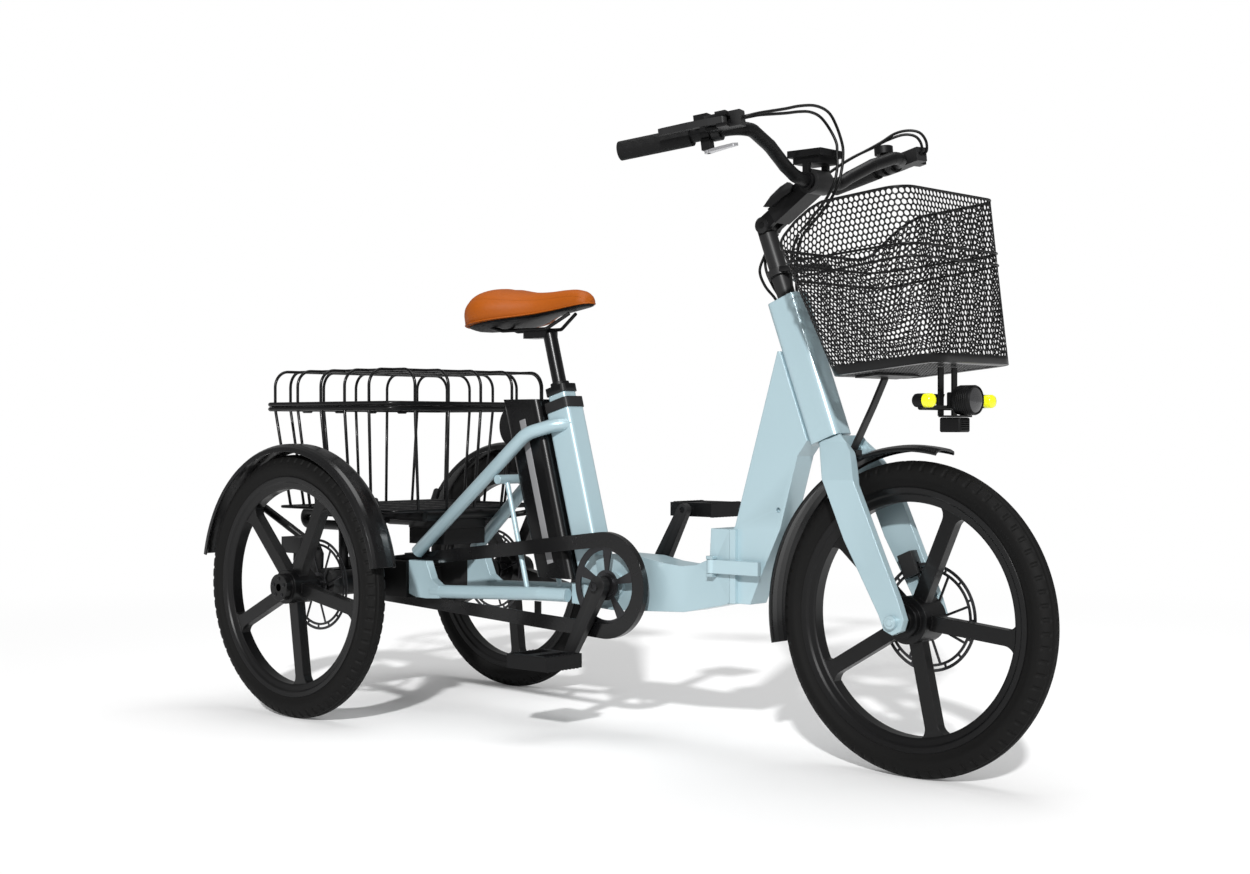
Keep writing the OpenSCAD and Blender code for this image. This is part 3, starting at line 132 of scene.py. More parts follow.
def tube(shape, path, d, sides=12, closed=False):
    """Sweeps a circle along the path; its ends are domed."""
    p = np.asarray(path, float)
    n = len(p)
    if closed:
        t = np.array([unit(p[(i + 1) % n] - p[i - 1]) for i in range(n)])
    else:
        t = np.array([unit(p[min(i + 1, n - 1)] - p[max(i - 1, 0)]) for i in range(n)])
    m = unit(np.cross(t[0], [0.13, 0.31, 0.94]))
    frames = []
    for i in range(n):
        m = unit(m - (m @ t[i]) * t[i])
        frames.append(m)
    if closed:
        last = unit(m - (m @ t[0]) * t[0])
        gap = math.atan2(np.cross(last, frames[0]) @ t[0], last @ frames[0])
        frames = [math.cos(gap * i / n) * f + math.sin(gap * i / n) * np.cross(t[i], f)
                  for i, f in enumerate(frames)]
    rings = []
    if not closed:
        rings.append((p[0] - t[0] * 0.0, frames[0], t[0], d / 2 * 0.86))
        p = p.copy()
        p[0] = p[0] + t[0] * d * 0.07
        p[-1] = p[-1] - t[-1] * d * 0.07
    for i in range(n):
        rings.append((p[i], frames[i], t[i], d / 2))
    if not closed:
        rings.append((path[-1], frames[-1], t[-1], d / 2 * 0.86))
    a = np.arange(sides) * 2 * math.pi / sides
    verts = [c + r * (np.outer(np.cos(a), f) + np.outer(np.sin(a), np.cross(q, f))) for c, f, q, r in rings]
    k = len(rings)
    faces = []
    for i in range(k if closed else k - 1):
        j = (i + 1) % k
        for s in range(sides):
            u = (s + 1) % sides
            faces.append((i * sides + s, i * sides + u, j * sides + u, j * sides + s))
    if not closed:
        faces.append(tuple(range(sides - 1, -1, -1)))
        faces.append(tuple((k - 1) * sides + s for s in range(sides)))
    return shape.add(np.vstack(verts), faces)


def axes(direction):
    z = unit(np.asarray(direction, float))
    x = unit(np.cross(z, [0.0, 1.0, 0.0] if abs(z[1]) < 0.9 else [1.0, 0.0, 0.0]))
    return x, np.cross(z, x), z


def lathe(shape, profile, at, direction, sides=48):
    """Turns (radius, height) points round an axis; a radius of 0 closes it."""
    x, y, z = axes(direction)
    a = np.arange(sides) * 2 * math.pi / sides
    verts, faces, rings = [], [], []
    for r, h in profile:
        start = len(verts)
        if r <= 1e-6:
            verts.append(np.asarray(at, float) + h * z)
            rings.append((start, 1))
        else:
            verts += list(np.asarray(at, float) + h * z + r * (np.outer(np.cos(a), x) + np.outer(np.sin(a), y)))
            rings.append((start, sides))
    for (p, m), (q, n) in zip(rings, rings[1:]):
        for s in range(sides):
            u = (s + 1) % sides
            if m == 1 and n == 1:
                continue
            if m == 1:
                faces.append((p, q + u, q + s))
            elif n == 1:
                faces.append((p + s, p + u, q))
            else:
                faces.append((p + s, p + u, q + u, q + s))
    return shape.add(verts, faces)


def soft_box(shape, low, high, r, frame_at=None, steps=3):
    """A box with rounded edges and corners, in world axes or in (origin, x, y, z)."""
    low, high = np.minimum(low, high).astype(float), np.maximum(low, high).astype(float)
    r = min(r, *(0.49 * (high - low)))
    n = steps
    grid = {}
    verts, faces = [], []

    def vertex(i, j, l):
        key = (i, j, l)
        if key not in grid:
            q = []
            for v in key:
                q.append(-1 + v / n if v <= n else (v - n - 1) / n)
            q = np.array(q)
            d = q / max(np.linalg.norm(q), 1e-9)
            corner = np.array([low[m] + r if v <= n else high[m] - r for m, v in enumerate(key)])
            grid[key] = len(verts)
            verts.append(corner + d * r)
        return grid[key]

    m = 2 * n + 1
    for a in range(m):
        for b in range(m):
            for side in (0, m):
                for f in ((lambda u, v: (side, u, v)), (lambda u, v: (v, side, u)), (lambda u, v: (u, v, side))):
                    q = [vertex(*f(a, b)), vertex(*f(a + 1, b)), vertex(*f(a + 1, b + 1)), vertex(*f(a, b + 1))]
                    faces.append(tuple(q if side else q[::-1]))
    verts = np.array(verts)
    if frame_at is not None:
        o, x, y, z = [np.asarray(v, float) for v in frame_at]
        verts = o + verts[:, :1] * x + verts[:, 1:2] * y + verts[:, 2:3] * z
    return shape.add(verts, faces)


def bolt(shape, at, direction, d, h):
    """A socket screw's head that stands h proud of a face."""
    r = d / 2
    lathe(shape, [(r, 0), (r, h * 0.75), (r * 0.86, h), (r * 0.5, h), (r * 0.46, h * 0.4), (0, h * 0.4)],
          at, direction, 20)


# Materials

def material(name, colour, rough, metal=0.0, vary=0.12, grain=900.0, bump=0.08, depth=0.0004, coat=0.0,
             wear=0.0, patches=9.0, bevel=0.0012, spread=0.12, kind="noise", spec=0.5, sheen=0.0, emit=None):
    """Paint, moulding or metal whose colour, gloss and surface vary at real scale."""
    mat = bpy.data.materials.new(name)
    mat.use_nodes = True
    tree = mat.node_tree
    n, link = tree.nodes, tree.links.new
    shader = n["Principled BSDF"]
    shader.inputs["Metallic"].default_value = metal
    shader.inputs["Coat Weight"].default_value = coat
    shader.inputs["Coat Roughness"].default_value = 0.12
    shader.inputs["Specular IOR Level"].default_value = spec
    shader.inputs["Sheen Weight"].default_value = sheen
    if emit:
        shader.inputs["Emission Color"].default_value = (*emit[0], 1)
        shader.inputs["Emission Strength"].default_value = emit[1]
    where = n.new("ShaderNodeTexCoord").outputs["Object"]
    slow = n.new("ShaderNodeTexNoise")
    slow.inputs["Scale"].default_value = patches
    slow.inputs["Detail"].default_value = 5
    link(where, slow.inputs["Vector"])
    fine = n.new("ShaderNodeTexNoise")
    fine.inputs["Scale"].default_value = grain
    fine.inputs["Detail"].default_value = 3
    link(where, fine.inputs["Vector"])
    shade = n.new("ShaderNodeMix")
    shade.data_type = "RGBA"
    dark = tuple(c * (1 - vary) for c in colour)
    light = tuple(min(c * (1 + vary), 1) for c in colour)
    shade.inputs[6].default_value = (*dark, 1)
    shade.inputs[7].default_value = (*light, 1)
    both = n.new("ShaderNodeMath")
    both.operation = "MULTIPLY_ADD"
    link(fine.outputs["Fac"], both.inputs[0])
    both.inputs[1].default_value = 0.35
    weigh = n.new("ShaderNodeMath")
    weigh.operation = "MULTIPLY"
    link(slow.outputs["Fac"], weigh.inputs[0])
    weigh.inputs[1].default_value = 0.65
    link(weigh.outputs[0], both.inputs[2])
    link(both.outputs[0], shade.inputs[0])
    colour_out = shade.outputs[2]
    if wear:
        edge = n.new("ShaderNodeNewGeometry").outputs["Pointiness"]
        pick = n.new("ShaderNodeMapRange")
        pick.inputs["From Min"].default_value = 0.53
        pick.inputs["From Max"].default_value = 0.62
        pick.inputs["To Max"].default_value = wear
        link(edge, pick.inputs["Value"])
        worn = n.new("ShaderNodeMix")
        worn.data_type = "RGBA"
        link(pick.outputs[0], worn.inputs[0])
        link(colour_out, worn.inputs[6])
        worn.inputs[7].default_value = (*(min(c * 1.5 + 0.03, 1) for c in colour), 1)
        colour_out = worn.outputs[2]
    link(colour_out, shader.inputs["Base Color"])
    gloss = n.new("ShaderNodeMapRange")
    gloss.inputs["To Min"].default_value = max(rough - spread / 2, 0.03)
    gloss.inputs["To Max"].default_value = min(rough + spread / 2, 1)
    link(slow.outputs["Fac"], gloss.inputs["Value"])
    link(gloss.outputs[0], shader.inputs["Roughness"])
    height = fine.outputs["Fac"]
    if kind == "leather":
        cells = n.new("ShaderNodeTexVoronoi")
        cells.feature = "DISTANCE_TO_EDGE"
        cells.inputs["Scale"].default_value = 420
        cells.inputs["Randomness"].default_value = 1
        link(where, cells.inputs["Vector"])
        crease = n.new("ShaderNodeMapRange")
        crease.inputs["From Max"].default_value = 0.18
        link(cells.outputs["Distance"], crease.inputs["Value"])
        add = n.new("ShaderNodeMath")
        add.operation = "ADD"
        link(crease.outputs[0], add.inputs[0])
        link(fine.outputs["Fac"], add.inputs[1])
        height = add.outputs[0]
    if kind == "knurl":
        rings = n.new("ShaderNodeTexWave")
        rings.bands_direction = "Y"
        rings.inputs["Scale"].default_value = 52
        rings.inputs["Distortion"].default_value = 0.0
        link(where, rings.inputs["Vector"])
        add = n.new("ShaderNodeMath")
        add.operation = "ADD"
        link(rings.outputs["Fac"], add.inputs[0])
        link(fine.outputs["Fac"], add.inputs[1])
        height = add.outputs[0]
    bumps = n.new("ShaderNodeBump")
    bumps.inputs["Strength"].default_value = bump
    bumps.inputs["Distance"].default_value = depth
    link(height, bumps.inputs["Height"])
    if bevel:
        soften = n.new("ShaderNodeBevel")
        soften.samples = 4
        soften.inputs["Radius"].default_value = bevel
        link(soften.outputs[0], bumps.inputs["Normal"])
    link(bumps.outputs[0], shader.inputs["Normal"])
    return mat


blue = material("frame paint", (0.335, 0.45, 0.49), 0.34, metal=0.2, vary=0.035, grain=1500, bump=0.05,
                depth=0.0002, coat=0.35, patches=4, bevel=0.0022, wear=0.25, spread=0.08)
powder = material("black powder coat", (0.003, 0.003, 0.0033), 0.4, vary=0.25, spec=0.2, grain=2200, bump=0.16,
                  depth=0.0003, wear=0.5, bevel=0.001)
wire_coat = material("dipped wire coat", (0.0025, 0.0025, 0.0028), 0.34, vary=0.2, spec=0.2, grain=900, bump=0.08, depth=0.0003,
                     coat=0.1, bevel=0, patches=14)
moulded = material("moulded black plastic", (0.003, 0.003, 0.0033), 0.48, vary=0.2, spec=0.2, grain=3000, bump=0.2,
                   depth=0.0002, bevel=0.0012)
glossy = material("gloss black plastic", (0.0025, 0.0025, 0.0028), 0.27, vary=0.15, spec=0.25, grain=700, bump=0.03,
                  depth=0.0002, coat=0.25, bevel=0.0018)
cast = material("cast wheel lacquer", (0.0025, 0.0025, 0.0027), 0.38, vary=0.2, spec=0.2, grain=1600, bump=0.1, depth=0.0003,
                coat=0.15, bevel=0.0025)
rubber = material("tyre rubber", (0.0038, 0.0037, 0.0036), 0.68, vary=0.3, grain=1400, bump=0.3, depth=0.0003,
                  bevel=0, patches=20, spec=0.15)
grip_rubber = material("grip rubber", (0.004, 0.004, 0.0042), 0.6, spec=0.2, vary=0.2, grain=2600, bump=0.5, depth=0.0006,
                       bevel=0, kind="knurl")
hose_skin = material("hose sheath", (0.003, 0.003, 0.003), 0.4, spec=0.2, vary=0.2, grain=1500, bump=0.1, depth=0.0002, bevel=0)
hide = material("saddle leather", (0.30, 0.066, 0.0012), 0.52, spec=0.22, vary=0.16, grain=700, bump=0.3, depth=0.00045,
                bevel=0, patches=16, kind="leather", spread=0.16)
thread = material("saddle thread", (0.24, 0.06, 0.004), 0.7, spec=0.2, vary=0.2, grain=4000, bump=0.4, bevel=0)
steel = material("brushed steel", (0.42, 0.42, 0.43), 0.34, metal=1.0, vary=0.15, grain=1800, bump=0.12,
                 depth=0.0001, bevel=0.0005)
dark_steel = material("darkened steel", (0.055, 0.055, 0.058), 0.36, metal=0.9, vary=0.2, grain=1800, bump=0.12,
                      depth=0.0001, bevel=0.0004)
black_screw = material("blackened screws", (0.025, 0.025, 0.027), 0.35, metal=0.7, vary=0.2, grain=2000,
                       bump=0.1, bevel=0)
silver = material("polished alloy", (0.62, 0.62, 0.64), 0.32, metal=0.85, vary=0.06, grain=300, bump=0.02,
                  depth=0.0001, bevel=0.001)
yellow = material("yellow lens", (0.80, 0.80, 0.01), 0.25, vary=0.06, grain=500, bump=0.1, bevel=0.001,
                  coat=0.4, emit=((0.85, 0.85, 0.0), 0.25))
lens = material("smoked lens", (0.03, 0.03, 0.032), 0.12, vary=0.2, grain=260, bump=0.25, depth=0.0005, bevel=0,
                coat=0.6)
grey_strip = material("grey trim", (0.20, 0.20, 0.205), 0.34, vary=0.08, grain=1500, bump=0.05, bevel=0.0006)
screen = material("display glass", (0.008, 0.009, 0.011), 0.1, vary=0.2, grain=200, bump=0.02, bevel=0, coat=0.8)

FINISH = {
    blue: ["seat_tube", "right_seat_stay", "left_seat_stay", "right_chain_stay", "left_chain_stay", "stay_bridges",
           "main_beam", "down_tube", "head_shroud", "frame_latch", "fork", "inner_seat_tube"],
    powder: ["axle_carrier", "basket_rack", "basket_brackets", "rear_calipers", "front_caliper", "crank_arms",
             "handlebar", "stem_base", "folding_stem", "stem_latch", "saddle_base", "lower_seat_collar",
             "upper_seat_collar", "lever_brackets", "right_brake_lever", "left_brake_lever"],
    wire_coat: ["rear_basket_floor", "rear_basket_sides", "rear_basket_ends", "basket_lid", "front_basket"],
    moulded: ["controller_box", "right_pedal", "left_pedal", "bar_instruments", "front_lamps"],
    glossy: ["rear_mudguards", "front_mudguard", "chain_guard", "battery_pack", "seatpost"],
    cast: ["front_wheel", "right_rear_wheel", "left_rear_wheel"],
    rubber: ["front_tyre", "right_rear_tyre", "left_rear_tyre"],
    grip_rubber: ["grips"],
    hose_skin: ["bar_hoses", "lower_hoses"],
    hide: ["saddle_pad"],
    dark_steel: ["chainring", "drive_chain", "rear_sprocket", "front_rotor", "right_rear_rotor", "left_rear_rotor"],
    silver: ["shifter_paddle"],
}
for mat, names in FINISH.items():
    for name in names:
        mesh = nodes[name].data
        mesh.materials.clear()
        mesh.materials.append(mat)
        mesh.polygons.foreach_set("material_index", [0] * len(mesh.polygons))
        mesh.update()

# Tyres

WHEEL_R = 258.0
TYRE_W = 46.0
BEAD_R = 213.2
TRACK = 593.0
WHEELBASE = 1240.0


def tyre(name, x, y, body, node):
    """Tyre with slots across both shoulders and a shallow rib pattern on the tread."""
    slots, steps = 72, 8
    profile = np.radians(np.concatenate([np.linspace(-134, -84, 7), np.linspace(-80, 80, 29), np.linspace(84, 134, 7)]))
    n, m = slots * steps, len(profile)
    around = np.arange(n)
    in_slot = np.isin(around % steps, (2, 3)).astype(float)
    shifted = np.isin((around + steps // 2) % steps, (2, 3)).astype(float)
    deg = np.degrees(profile)
    depth = np.outer(in_slot, (deg > 34) & (deg < 74)) * 1.9 + np.outer(shifted, (deg < -34) & (deg > -74)) * 1.9
    depth += np.outer(np.ones(n), (np.abs(np.abs(deg) - 20) < 3.2)) * 1.2
    depth += np.outer(shifted, np.abs(deg) < 8) * 0.9
    depth -= np.outer(np.ones(n), (np.abs(np.abs(deg) - 98) < 5)) * 0.5
    r = TYRE_W / 2 - depth
    a = np.repeat(around * 2 * math.pi / n, m).reshape(n, m)
    radial = WHEEL_R - TYRE_W / 2 + r * np.cos(profile)
    across = r * np.sin(profile)
    # The beads sit behind the rim's lips
    radial[:, 0] = radial[:, -1] = BEAD_R
    across[:, 0], across[:, -1] = -16.6, 16.6
    v = np.stack([x + radial * np.cos(a), y + across, WHEEL_R + radial * np.sin(a)], -1).reshape(-1, 3)
    f = []
    for i in range(n):
        j = (i + 1) % n
        for k in range(m):
            l = (k + 1) % m
            f.append((i * m + k, i * m + l, j * m + l, j * m + k))
    Shape().add(v, f).piece(name, body, rubber, 30, (node,))


tyre("front_tread", WHEELBASE, 0, "front_wheel_set", "front_tyre")
tyre("right_rear_tread", 0, -TRACK / 2, "rear_wheel_right", "right_rear_tyre")
tyre("left_rear_tread", 0, TRACK / 2, "rear_wheel_left", "left_rear_tyre")

# Front basket: one perforated wall bent round four corners, a perforated bottom, and its wires

BASKET_LOW, BASKET_LOW_L, BASKET_LOW_W = np.array([1150.0, 652.0]), 208.0, 244.0
BASKET_TOP, BASKET_TOP_L, BASKET_TOP_W = np.array([1009.0, 960.0]), 298.0, 290.0
BASKET_R = 36.0
BASKET_TILT = math.radians(5.5)
RIM = np.array([[850, 806], [1054, 862], [1078, 885], [1102, 905], [1130, 922], [1155, 932], [1308, 946], [1420, 956]])


def outline(length, width, r, t):
    """Points on a rounded rectangle for t in 0..1, starting at the middle of its rear side."""
    straight_y, straight_x, arc = width - 2 * r, length - 2 * r, math.pi * r / 2
    total = 2 * straight_x + 2 * straight_y + 4 * arc
    s = (np.asarray(t) % 1) * total
    x, y = np.zeros_like(s), np.zeros_like(s)
    hx, hy = length / 2, width / 2
    edges = [(straight_y / 2, (-hx, 0), (0, -1), None), (arc, (-hx + r, -hy + r), None, math.pi),
             (straight_x, (-hx + r, -hy), (1, 0), None), (arc, (hx - r, -hy + r), None, 1.5 * math.pi),
             (straight_y, (hx, -hy + r), (0, 1), None), (arc, (hx - r, hy - r), None, 0.0),
             (straight_x, (hx - r, hy), (-1, 0), None), (arc, (-hx + r, hy - r), None, 0.5 * math.pi),
             (straight_y / 2 + 1, (-hx, hy - r), (0, -1), None)]
    at = 0.0
    for span, start, step, angle in edges:
        on = (s >= at - 1e-9) & (s <= at + span + 1e-9)
        d = s[on] - at
        if step is not None:
            x[on], y[on] = start[0] + step[0] * d, start[1] + step[1] * d
        else:
            x[on], y[on] = start[0] + r * np.cos(angle + d / r), start[1] + r * np.sin(angle + d / r)
        at += span
    return x, y


def wall(t, h, out=0.0):
    """A point of the basket's wall: t goes round it and h from its bottom (0) to its top plane (1)."""
    t, h = np.asarray(t, float), np.asarray(h, float)
    xl, yl = outline(BASKET_LOW_L + 2 * out, BASKET_LOW_W + 2 * out, BASKET_R + out, t)
    xt, yt = outline(BASKET_TOP_L + 2 * out, BASKET_TOP_W + 2 * out, BASKET_R + out, t)
    xl = xl + BASKET_LOW_L / 2
    low = np.stack([BASKET_LOW[0] + xl * math.cos(BASKET_TILT), yl, BASKET_LOW[1] + xl * math.sin(BASKET_TILT)], -1)
    top = np.stack([BASKET_TOP[0] + BASKET_TOP_L / 2 + xt, yt, np.full_like(xt, BASKET_TOP[1])], -1)
    return low + (top - low) * h[..., None]


def rim_height(t):
    """How far up the wall the curved rim lies, for each t."""
    t = np.asarray(t, float)
    low, high = np.zeros_like(t), np.ones_like(t)
    for _ in range(24):
        mid = (low + high) / 2
        p = wall(t, mid)
        under = p[..., 2] < np.interp(p[..., 0], RIM[:, 0], RIM[:, 1])
        low, high = np.where(under, mid, low), np.where(under, high, mid)
    return low


def front_basket():
    around, rows, dots = 106, 29, 10
    hole = 0.40
    band = 0.045
    a = np.arange(dots) * 2 * math.pi / dots + math.pi / 2
    rim = np.array([[0.5, 0.5], [0, 0.5], [-0.5, 0.5], [-0.5, -0.5], [0, -0.5], [0.5, -0.5]])
    circle = np.stack([np.cos(a) * hole, np.sin(a) * hole / 0.866], -1)
    joins = []
    turn = lambda q: np.arctan2(q[:, 1], q[:, 0]) % (2 * math.pi)
    ra, ca = turn(rim), turn(circle)
    order_r, order_c = np.argsort(ra), np.argsort(ca)
    i = j = 0
    while i < 6 or j < dots:
        ar = ra[order_r[i % 6]] + 2 * math.pi * (i // 6)
        ac = ca[order_c[j % dots]] + 2 * math.pi * (j // dots)
        nr = ra[order_r[(i + 1) % 6]] + 2 * math.pi * ((i + 1) // 6)
        nc = ca[order_c[(j + 1) % dots]] + 2 * math.pi * ((j + 1) // dots)
        if j >= dots or (i < 6 and nr <= nc):
            joins.append(("r", order_r[i % 6], order_r[(i + 1) % 6], order_c[j % dots]))
            i += 1
        else:
            joins.append(("c", order_c[j % dots], order_c[(j + 1) % dots], order_r[i % 6]))
            j += 1
    thick = 1.1
    t_all, h_all, faces = [], [], []
    count = 0
    for row in range(rows):
        for col in range(around):
            u = col + (0.5 if row % 2 else 0.0)
            pts = np.concatenate([rim, circle]) + [u, row + 0.5]
            t_all.append(pts[:, 0] / around)
            h_all.append(pts[:, 1] / rows)
            for kind, p, q, s in joins:
                if kind == "r":
                    faces.append((count + p, count + q, count + 6 + s))
                else:
                    faces.append((count + 6 + q, count + 6 + p, count + s))
            count += 6 + dots
    t, h = np.concatenate(t_all), np.concatenate(h_all)
    top = rim_height(t)
    h = band + (top - band - 0.012) * h
    mid = wall(t, h, -thick / 2)
    sheet = Shape().add(mid, faces)
    ts = np.arange(2 * around) / (2 * around)
    for h0, h1 in ((np.full_like(ts, 0.0), np.full_like(ts, band)), (rim_height(ts) - 0.012, rim_height(ts))):
        n = len(ts)
        v = np.concatenate([wall(ts, h0, -thick / 2), wall(ts, h1, -thick / 2)])
        sheet.add(v, [(k, (k + 1) % n, n + (k + 1) % n, n + k) for k in range(n)])
    # Bottom: the same cells on a flat grid, with a solid border
    nx, ny = 17, 24
    inner = np.array([BASKET_LOW_L - 34, BASKET_LOW_W - 34])
    flat, bottom, count = [], [], 0
    for row in range(nx):
        for col in range(ny):
            pts = np.concatenate([rim, circle]) + [col + (0.25 if row % 2 else -0.25) + 0.5, row + 0.5]
            flat.append(pts)
            for kind, p, q, s in joins:
                if kind == "r":
                    bottom.append((count + p, count + q, count + 6 + s))
                else:
                    bottom.append((count + 6 + q, count + 6 + p, count + s))
            count += 6 + dots
    flat = np.concatenate(flat)
    y = (flat[:, 0] / ny - 0.5) * inner[1]
    x = (flat[:, 1] / nx - 0.5) * inner[0] + BASKET_LOW_L / 2

    def floor_point(x, y, up=1.0):
        return np.stack([BASKET_LOW[0] + x * math.cos(BASKET_TILT) - up * math.sin(BASKET_TILT), y,
                         BASKET_LOW[1] + x * math.sin(BASKET_TILT) + up * math.cos(BASKET_TILT)], -1)

    sheet.add(floor_point(x, y), bottom)
    n = 160
    ts = np.arange(n) / n
    xo, yo = outline(BASKET_LOW_L - 1.5, BASKET_LOW_W - 1.5, BASKET_R - 1, ts)
    xi, yi = outline(inner[0] - 8, inner[1] - 8, 2.0, ts)
    v = np.concatenate([floor_point(xo + BASKET_LOW_L / 2, yo), floor_point(xi + BASKET_LOW_L / 2, yi, 0.4)])
    sheet.add(v, [(k, (k + 1) % n, n + (k + 1) % n, n + k) for k in range(n)])
    obj = sheet.piece("front_basket_mesh", "steering", wire_coat, 180, ("front_basket",))
    solid = obj.modifiers.new("thickness", "SOLIDIFY")
    solid.thickness = thick / 1000
    solid.offset = 0
    wires = Shape()
    ts = np.arange(150) / 150
    top_path = wall(ts, rim_height(ts) - 0.006, -1.0)
    tube(wires, top_path, 4.6, 8, closed=True)
    for front, back in ((855.0, 851.0), (835.0, 822.0)):
        h = np.clip((np.interp(wall(ts, np.full_like(ts, 0.6))[:, 0], [1040, 1310], [back - 30, front]) - 652) / 308, 0, 0.995)
        for _ in range(4):
            p = wall(ts, h)
            goal = np.interp(p[:, 0], [1040, 1310], [back - 16, front])
            h = h + (goal - p[:, 2]) / 300
        h = np.minimum(h, rim_height(ts) - 0.02)
        tube(wires, wall(ts, h, 0.6), 4.2, 8, closed=True)
    wires.piece("front_basket_wires", "steering", wire_coat, 180)


front_basket()

# Rear basket and its lid, in bent round wire

RIM_X0, RIM_X1, RIM_Z, HALF = -176.0, 214.0, 607.0, 235.5
FLOOR_X0, FLOOR_X1, FLOOR_Z = -158.0, 188.0, 407.0
SIDE_X = [-146, -72, 2, 76, 150]
END_Y = [-174, -87, 0, 87, 174]
LID_Z, LID_R = 616.3, 67.0


def ring(x0, x1, half, z, r):
    return bend([[x0, -half, z], [x1, -half, z], [x1, half, z], [x0, half, z]], r, 7, closed=True)


rear = Shape()
tube(rear, ring(RIM_X0, RIM_X1, HALF, RIM_Z, 20), 9, 14, closed=True)
tube(rear, ring(FLOOR_X0 - 6.4, FLOOR_X1 + 6.4, 211.2, FLOOR_Z, 14), 6, 12, closed=True)
for s in (-1, 1):
    for x in SIDE_X:
        foot = FLOOR_X0 + 6 + (x - RIM_X0) * (FLOOR_X1 - FLOOR_X0 - 12) / (RIM_X1 - RIM_X0)
        tube(rear, [[x, HALF * s, RIM_Z], [foot, 211.2 * s, FLOOR_Z]], 6, 12)
for x, fx in ((RIM_X0, FLOOR_X0 - 6.4), (RIM_X1, FLOOR_X1 + 6.4)):
    for y in END_Y:
        tube(rear, [[x, y, RIM_Z], [fx, y * 201 / HALF, FLOOR_Z]], 6, 12)
rear.piece("rear_basket_wires", "frame", wire_coat, 60, ("rear_basket_sides", "rear_basket_ends"))

lid = Shape()
tube(lid, ring(RIM_X0, RIM_X1, HALF, LID_Z, 20), 9, 14, closed=True)
for x in SIDE_X:
    tube(lid, bend([[x, -HALF, LID_Z], [x, -HALF, LID_Z + LID_R], [x, HALF, LID_Z + LID_R], [x, HALF, LID_Z]], LID_R, 14), 6, 12)
for y in END_Y:
    tube(lid, bend([[RIM_X0, y, LID_Z], [RIM_X0, y, LID_Z + LID_R], [RIM_X1, y, LID_Z + LID_R], [RIM_X1, y, LID_Z]], 56, 14), 6, 12)
for y in (-130, -44, 44, 130):
    lathe(lid, [(4.55, -9), (7.5, -9), (7.5, 9), (4.55, 9), (4.55, -9)], [RIM_X0, y, RIM_Z], [0, 1, 0], 28)
lid.piece("lid_wires", "lid", wire_coat, 60, ("basket_lid",))

# Seat stays, whose upper ends run into the sides of the seat tube

for side, label in ((-1, "right"), (1, "left")):
    stay = Shape()
    tube(stay, bend([[478, 10 * side, 577], [452, 33 * side, 574], [404, 59.5 * side, 558], [112, 80 * side, 318]],
                    60, 12), 26, 28)
    stay.piece(label + "_seat_stay_tube", "frame", blue, 60, (label + "_seat_stay",))

# Hoses, along the part's own routes

HOSES = {
    "right_brake_hose": ("bar_hoses", [[1089.3, -259.9, 1058.5], [1098, -256, 1060], [1106, -240, 1065],
        [1106, -205, 1073], [1102, -165, 1082], [1094, -115, 1094], [1086, -62, 1102], [1080, -18, 1098],
        [1076, 10, 1080], [1080, 22, 1050], [1082, 22, 1030], [1082, 18, 1005], [1078, 12, 978], [1062, 8, 950],
        [1034, 8, 923], [1009, 8, 901.3]]),
    "right_switch_hose": ("bar_hoses", [[1086.3, -250.3, 1058.5], [1094, -246, 1060], [1099, -230, 1064],
        [1098, -195, 1070], [1092, -150, 1078], [1084, -105, 1087], [1075, -62, 1093], [1069, -25, 1090],
        [1068, 2, 1074], [1078, 8, 1050], [1081, 6, 1030], [1084, 2, 1005], [1081, -4, 978], [1064, -7, 950],
        [1038, -8, 924], [1013, -8, 901.3]]),
    "left_brake_hose": ("bar_hoses", [[1089.3, 259.9, 1058.5], [1097, 257, 1064], [1098, 252, 1080],
        [1090, 244, 1094], [1074, 232, 1098], [1058, 214, 1092], [1048, 185, 1074], [1040, 150, 1056],
        [1032, 112, 1038], [1022, 76, 1016], [1006, 48, 990], [980, 33, 960], [955, 26, 935], [940, 25, 918]]),
    "left_parking_hose": ("bar_hoses", [[1086.3, 250.3, 1058.5], [1093, 248, 1064], [1092, 243, 1078],
        [1084, 236, 1088], [1068, 224, 1090], [1048, 204, 1080], [1036, 175, 1064], [1030, 138, 1048],
        [1020, 98, 1026], [1006, 70, 1004], [988, 54, 984], [968, 42, 958], [950, 34, 930], [938, 32, 910]]),
    "lower_hose_1": ("lower_hoses", [[1007, 8, 899], [999, 8, 880], [995, 8, 850], [995, 7, 820], [998, 6, 797],
        [1004, 6, 781], [1011, 6, 762]]),
    "lower_hose_2": ("lower_hoses", [[1011, -8, 899], [1001, -8, 880], [995, -8, 850], [995, -7, 820],
        [998, -6, 797], [1004, -6, 781], [1011, -6, 762]]),
    "lower_hose_3": ("lower_hoses", [[938.8, 25, 916.2], [927, 22, 892], [922, 15, 868], [928, 10, 842],
        [944, 8, 815], [962, 7, 791], [968, 7, 775], [975, 7, 757]]),
    "lower_hose_4": ("lower_hoses", [[936.8, 32, 908.2], [922, 28, 890], [914, 21, 868], [918, 4, 842],
        [936, -4, 815], [961, -7, 791], [968, -7, 775], [975, -7, 757]]),
}
for name, (node, route) in HOSES.items():
    shape = tube(Shape(), curve(route, 6), 5, 12)
    shape.piece(name, "cockpit" if node == "bar_hoses" else "steering", hose_skin, 60, (node,))

# Saddle

